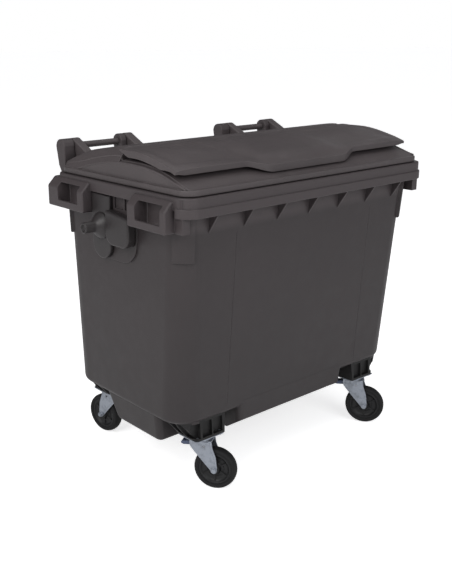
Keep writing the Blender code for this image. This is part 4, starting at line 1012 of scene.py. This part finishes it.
def tyre_profile():
    half = [(0.0170, 0.0605), (0.0182, 0.0609), (0.0187, 0.0625), (0.0178, 0.0640), (0.0180, 0.0655), (0.0194, 0.0668), (0.0200, 0.0690), (0.0199, 0.0715), (0.0190, 0.0738),
            (0.0173, 0.0758), (0.0145, 0.0774), (0.0105, 0.0788), (0.0060, 0.0797), (0.0020, 0.0800)]
    return half + [(-d, r) for d, r in half[::-1]]


def wheel_spokes():
    """Shallow ribs between hub and rim, on both faces."""
    ax, az = AXLE[0], AXLE[2]
    ribs = []
    for k in range(6):
        a = math.radians(30 + 60 * k)
        d, t = Vector((math.cos(a), 0, math.sin(a))), Vector((-math.sin(a), 0, math.cos(a)))
        rings = []
        for r, w in ((0.0190, 0.0030), (0.0520, 0.0022)):
            c = Vector((ax, 0, az)) + d * r
            rings.append([tuple(c + t * w * u + Vector((0, 0.0118 * v, 0))) for u, v in ((-1, -1), (1, -1), (1, 1), (-1, 1))])
        ribs.append(soften(loft(rings), 0.0009, None, 2))
    return ribs


def bolt():
    shaft = turned([(-0.0312, 0.0056), (0.0408, 0.0056), (0.0418, 0.0048)], (0, 1, 0), AXLE, 28)
    head = turned([(-0.0372, 0.0085), (-0.0366, 0.0096), (-0.0330, 0.0099), (-0.0318, 0.0099)], (0, 1, 0), AXLE, 6)
    washer = turned([(-0.0325, 0.0112), (-0.0313, 0.0114)], (0, 1, 0), AXLE, 32)
    return add(shaft, head, washer)


def nut():
    bm = turned([(0.0316, 0.0113), (0.0326, 0.0113), (0.0326, 0.0098), (0.0380, 0.0098), (0.0390, 0.0088)], (0, 1, 0), AXLE, 6)
    return cut(bm, turned([(0.02, 0.0062), (0.045, 0.0062)], (0, 1, 0), AXLE, 28))


def pedal():
    lever = prism_y([(0.0265, 0.1590), (0.0265, 0.1440), (0.0150, 0.1425), (-0.0300, 0.1440), (-0.0450, 0.1440), (-0.0640, 0.1425), (-0.0720, 0.1455),
                     (-0.0745, 0.1510), (-0.0700, 0.1560), (-0.0480, 0.1595), (-0.0300, 0.1610)], -0.0160, 0.0160)
    soften(lever, 0.0024, None, 3)
    grips = []
    for k in range(4):
        x = -0.0665 + 0.0070 * k
        z = 0.1562 + (x + 0.0700) * 0.16
        grips.append(soften(box(x - 0.0012, x + 0.0012, -0.0125, 0.0125, z - 0.003, z + 0.0016), 0.0005, None, 2))
    return cut(add(lever, *grips), turned([(-0.03, 0.0046), (0.03, 0.0046)], (0, 1, 0), PIVOT, 24))


def shoe():
    # the inner face opens towards its high end, so that the whole pad comes down on the tyre together
    outer, inner = 0.0900, 0.0849
    pts = [(AXLE[0] + (r + grow * (a - 124)) * math.cos(math.radians(a)), AXLE[2] + (r + grow * (a - 124)) * math.sin(math.radians(a))) for r, grow, seq in
           ((outer, 0.0, range(124, 141, 2)), (inner, 0.0001, range(140, 123, -2))) for a in seq]
    pad = soften(prism_y(pts, -0.0140, 0.0140), 0.0008, lambda e: abs(e.verts[0].co.y - e.verts[1].co.y) < 1e-6, 2)
    stem = soften(prism_y([(-0.0160, 0.1425), (-0.0140, 0.1290), (-0.0060, 0.1240), (0.0030, 0.1300), (0.0010, 0.1425)], -0.0060, 0.0060), 0.001, None, 2)
    return add(pad, stem)


CASTORS = (("fl", -CASTOR_X, CASTOR_YF, True), ("fr", CASTOR_X, CASTOR_YF, True), ("rl", -CASTOR_X, CASTOR_YB, False), ("rr", CASTOR_X, CASTOR_YB, False))
for label, cx, cy, braked in CASTORS:
    spin = Vector(JOINT[f"wheel_spin_{label}"]["pos_m"])
    turn = math.atan2(spin.y - (cy - Y_MID), spin.x - cx)
    here = Matrix.Translation((cx, cy, 0)) @ Matrix.Rotation(turn, 4, "Z")
    still = Matrix.Translation((cx, cy, 0))
    piece(f"plate_visual_{label}", top_plate(), ZINC_MAT, "container", (f"castor_plate_{label}",), smooth=34, place=still)
    piece(f"race_visual_{label}", ring_solid([(0.1794, 0.0240), (0.1828, 0.0240), (0.1828, 0.0318), (0.1821, 0.0330), (0.1811, 0.0334), (0.1801, 0.0330), (0.1794, 0.0318)], (0, 0, 1), (0, 0, 0), 56),
          STEEL_MAT, "container", (f"swivel_race_{label}",), place=still, weighted=False)
    piece(f"kingpin_visual_{label}", turned(KINGPIN, (0, 0, 1), (0, 0, 0), 36), STEEL_MAT, "container", (f"kingpin_{label}",), place=still)
    piece(f"fork_visual_{label}", fork(), ZINC_MAT, f"swivel_{label}", (f"fork_{label}",), smooth=34, place=here)
    piece(f"wheel_visual_{label}", add(ring_solid(core_profile(), (0, 1, 0), AXLE, 72), *wheel_spokes()), CORE_MAT, f"wheel_{label}", (f"wheel_core_{label}",), smooth=34, place=here)
    piece(f"tyre_visual_{label}", ring_solid(tyre_profile(), (0, 1, 0), AXLE, 96), TYRE_MAT, f"wheel_{label}", (f"tyre_{label}",), smooth=50, place=here, weighted=False)
    piece(f"axle_bolt_visual_{label}", bolt(), ZINC_MAT, f"swivel_{label}", (f"axle_bolt_{label}",), smooth=32, bevel=0.0004, place=here)
    piece(f"axle_nut_visual_{label}", nut(), ZINC_MAT, f"swivel_{label}", (f"axle_nut_{label}",), smooth=32, bevel=0.0004, place=here)
    if braked:
        piece(f"pedal_visual_{label}", pedal(), PEDAL_MAT, f"brake_{label}", (f"brake_pedal_{label}",), smooth=36, place=here)
        piece(f"shoe_visual_{label}", shoe(), STEEL_MAT, f"brake_{label}", (f"brake_shoe_{label}",), smooth=36, place=here)

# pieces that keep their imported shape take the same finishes
KEPT = {"flap_hinge_pin": STEEL_MAT, "hub_bush": STEEL_MAT, "brake_pin": STEEL_MAT}
for name, ob in frame["nodes"].items():
    for start, mat in KEPT.items():
        if name.startswith(start):
            ob.data.materials.clear()
            ob.data.materials.append(mat)
            ob.data.shade_smooth()


# ---------------------------------------------------------------- floor, light and camera
def floor_material():
    mat, nodes, links, shader = new_material("floor_pale")
    place = nodes.new("ShaderNodeTexCoord").outputs["Object"]
    cloud = node(nodes, "ShaderNodeTexNoise", Scale=1.4, Detail=3.0)
    links.new(place, cloud.inputs["Vector"])
    tone = mix_colour(nodes, links, cloud.outputs["Fac"], (0.955, 0.955, 0.958), (0.965, 0.965, 0.966))
    links.new(tone, shader.inputs["Base Color"])
    shader.inputs["Roughness"].default_value = 0.85
    shader.inputs["Specular IOR Level"].default_value = 0.1
    shader.inputs["Emission Color"].default_value = (1.0, 1.0, 1.0, 1.0)
    seen = nodes.new("ShaderNodeLightPath")
    links.new(spread(nodes, links, seen.outputs["Is Camera Ray"], 0.0, 1.0, 0.14, 0.66), shader.inputs["Emission Strength"])
    return mat


def stage_sheet():
    """A plain pale floor."""
    bm = bmesh.new()
    rows = [[bm.verts.new((x, y, -0.0002)) for x in (-90.0, -30.0, 30.0, 90.0)] for y in (-90.0, -30.0, 30.0, 90.0)]
    for a, b in zip(rows, rows[1:]):
        for k in range(3):
            bm.faces.new((a[k], a[k + 1], b[k + 1], b[k]))
    me = bpy.data.meshes.new("floor")
    bm.to_mesh(me)
    bm.free()
    me.shade_smooth()
    me.materials.append(floor_material())
    ob = bpy.data.objects.new("floor", me)
    SCENE.objects.link(ob)
    ob.rotation_euler.z = math.radians(-39.05)
    return ob


stage_sheet()


def area(name, spot, target, size, power, colour=(1.0, 1.0, 1.0)):
    light = bpy.data.lights.new(name, "AREA")
    light.shape = "RECTANGLE"
    light.size, light.size_y = size
    light.energy = power
    light.color = colour
    ob = bpy.data.objects.new(name, light)
    SCENE.objects.link(ob)
    ob.location = spot
    ob.rotation_euler = (Vector(target) - Vector(spot)).to_track_quat("-Z", "Y").to_euler()
    return ob


area("key_left", (-4.2, -0.8, 3.4), (0, 0, 0.6), (2.6, 2.6), 100.0, (1.0, 0.99, 0.98))
area("front_fill", (-0.6, -4.8, 2.9), (0, 0, 0.7), (3.0, 2.4), 70.0, (0.98, 0.99, 1.0))
area("top_soft", (0.2, 0.2, 4.6), (0, 0, 0.8), (3.4, 3.4), 45.0)
area("right_rim", (4.4, 1.6, 2.2), (0, 0, 0.7), (2.0, 2.6), 6.0)

world = bpy.data.worlds.new("studio")
bpy.context.scene.world = world
world.use_nodes = True
wn, wl = world.node_tree.nodes, world.node_tree.links
back = wn["Background"]
ray = wn.new("ShaderNodeLightPath")
mixer = wn.new("ShaderNodeMix")
mixer.data_type = "RGBA"
rise = wn.new("ShaderNodeTexCoord")
parts = wn.new("ShaderNodeSeparateXYZ")
wl.new(rise.outputs["Generated"], parts.inputs["Vector"])
fall = wn.new("ShaderNodeMapRange")
fall.inputs["From Min"].default_value = 0.1
fall.inputs["From Max"].default_value = 0.95
wl.new(parts.outputs["Z"], fall.inputs["Value"])
sky = wn.new("ShaderNodeMix")
sky.data_type = "RGBA"
sky.inputs[6].default_value = (0.86, 0.86, 0.875, 1.0)
sky.inputs[7].default_value = (0.46, 0.465, 0.48, 1.0)
wl.new(fall.outputs["Result"], sky.inputs[0])
# the room is darker behind the object than on the camera's side
facing = wn.new("ShaderNodeVectorMath")
facing.operation = "DOT_PRODUCT"
facing.inputs[1].default_value = (0.629, 0.777, 0.0)
wl.new(rise.outputs["Generated"], facing.inputs[0])
behind = wn.new("ShaderNodeMapRange")
behind.inputs["From Min"].default_value = -0.35
behind.inputs["From Max"].default_value = 0.55
wl.new(facing.outputs["Value"], behind.inputs["Value"])
dim = wn.new("ShaderNodeMix")
dim.data_type = "RGBA"
dim.inputs[7].default_value = (0.07, 0.07, 0.074, 1.0)
wl.new(behind.outputs["Result"], dim.inputs[0])
wl.new(sky.outputs[2], dim.inputs[6])
wl.new(dim.outputs[2], mixer.inputs[6])
mixer.inputs[7].default_value = (1.0, 1.0, 1.0, 1.0)
wl.new(ray.outputs["Is Camera Ray"], mixer.inputs[0])
wl.new(mixer.outputs[2], back.inputs["Color"])
back.inputs["Strength"].default_value = 1.0

# the photograph's viewing angle
CAM_SPOT = Vector((-2.2212, -2.3646, 1.5976))
AZ, PITCH, ROLL = math.radians(-39.0514), math.radians(16.6867), math.radians(-0.6155)
FOCAL, CX, CY, WIDE, TALL = 836.71, 179.25, 285.50, 452.0, 584.0
forward = Vector((-math.sin(AZ) * math.cos(PITCH), math.cos(AZ) * math.cos(PITCH), -math.sin(PITCH)))
right = Vector((math.cos(AZ), math.sin(AZ), 0.0))
up = right.cross(forward)
right, up = right * math.cos(ROLL) + up * math.sin(ROLL), up * math.cos(ROLL) - right * math.sin(ROLL)
cam = bpy.data.cameras.new("camera")
cam.sensor_fit = "VERTICAL"
cam.sensor_height = 36.0
cam.lens = FOCAL / TALL * 36.0
cam.shift_x = -(CX - WIDE / 2) / TALL
cam.shift_y = (CY - TALL / 2) / TALL
cam.clip_end = 200.0
eye = bpy.data.objects.new("camera", cam)
SCENE.objects.link(eye)
m = Matrix.Identity(4)
for i, axis in enumerate((right, up, -forward)):
    for k in range(3):
        m[k][i] = axis[k]
m.translation = CAM_SPOT
eye.matrix_world = m
bpy.context.scene.camera = eye

bpy.context.scene.view_settings.view_transform = "Standard"
bpy.context.scene.view_settings.look = "None"
bpy.context.scene.view_settings.exposure = 0.0
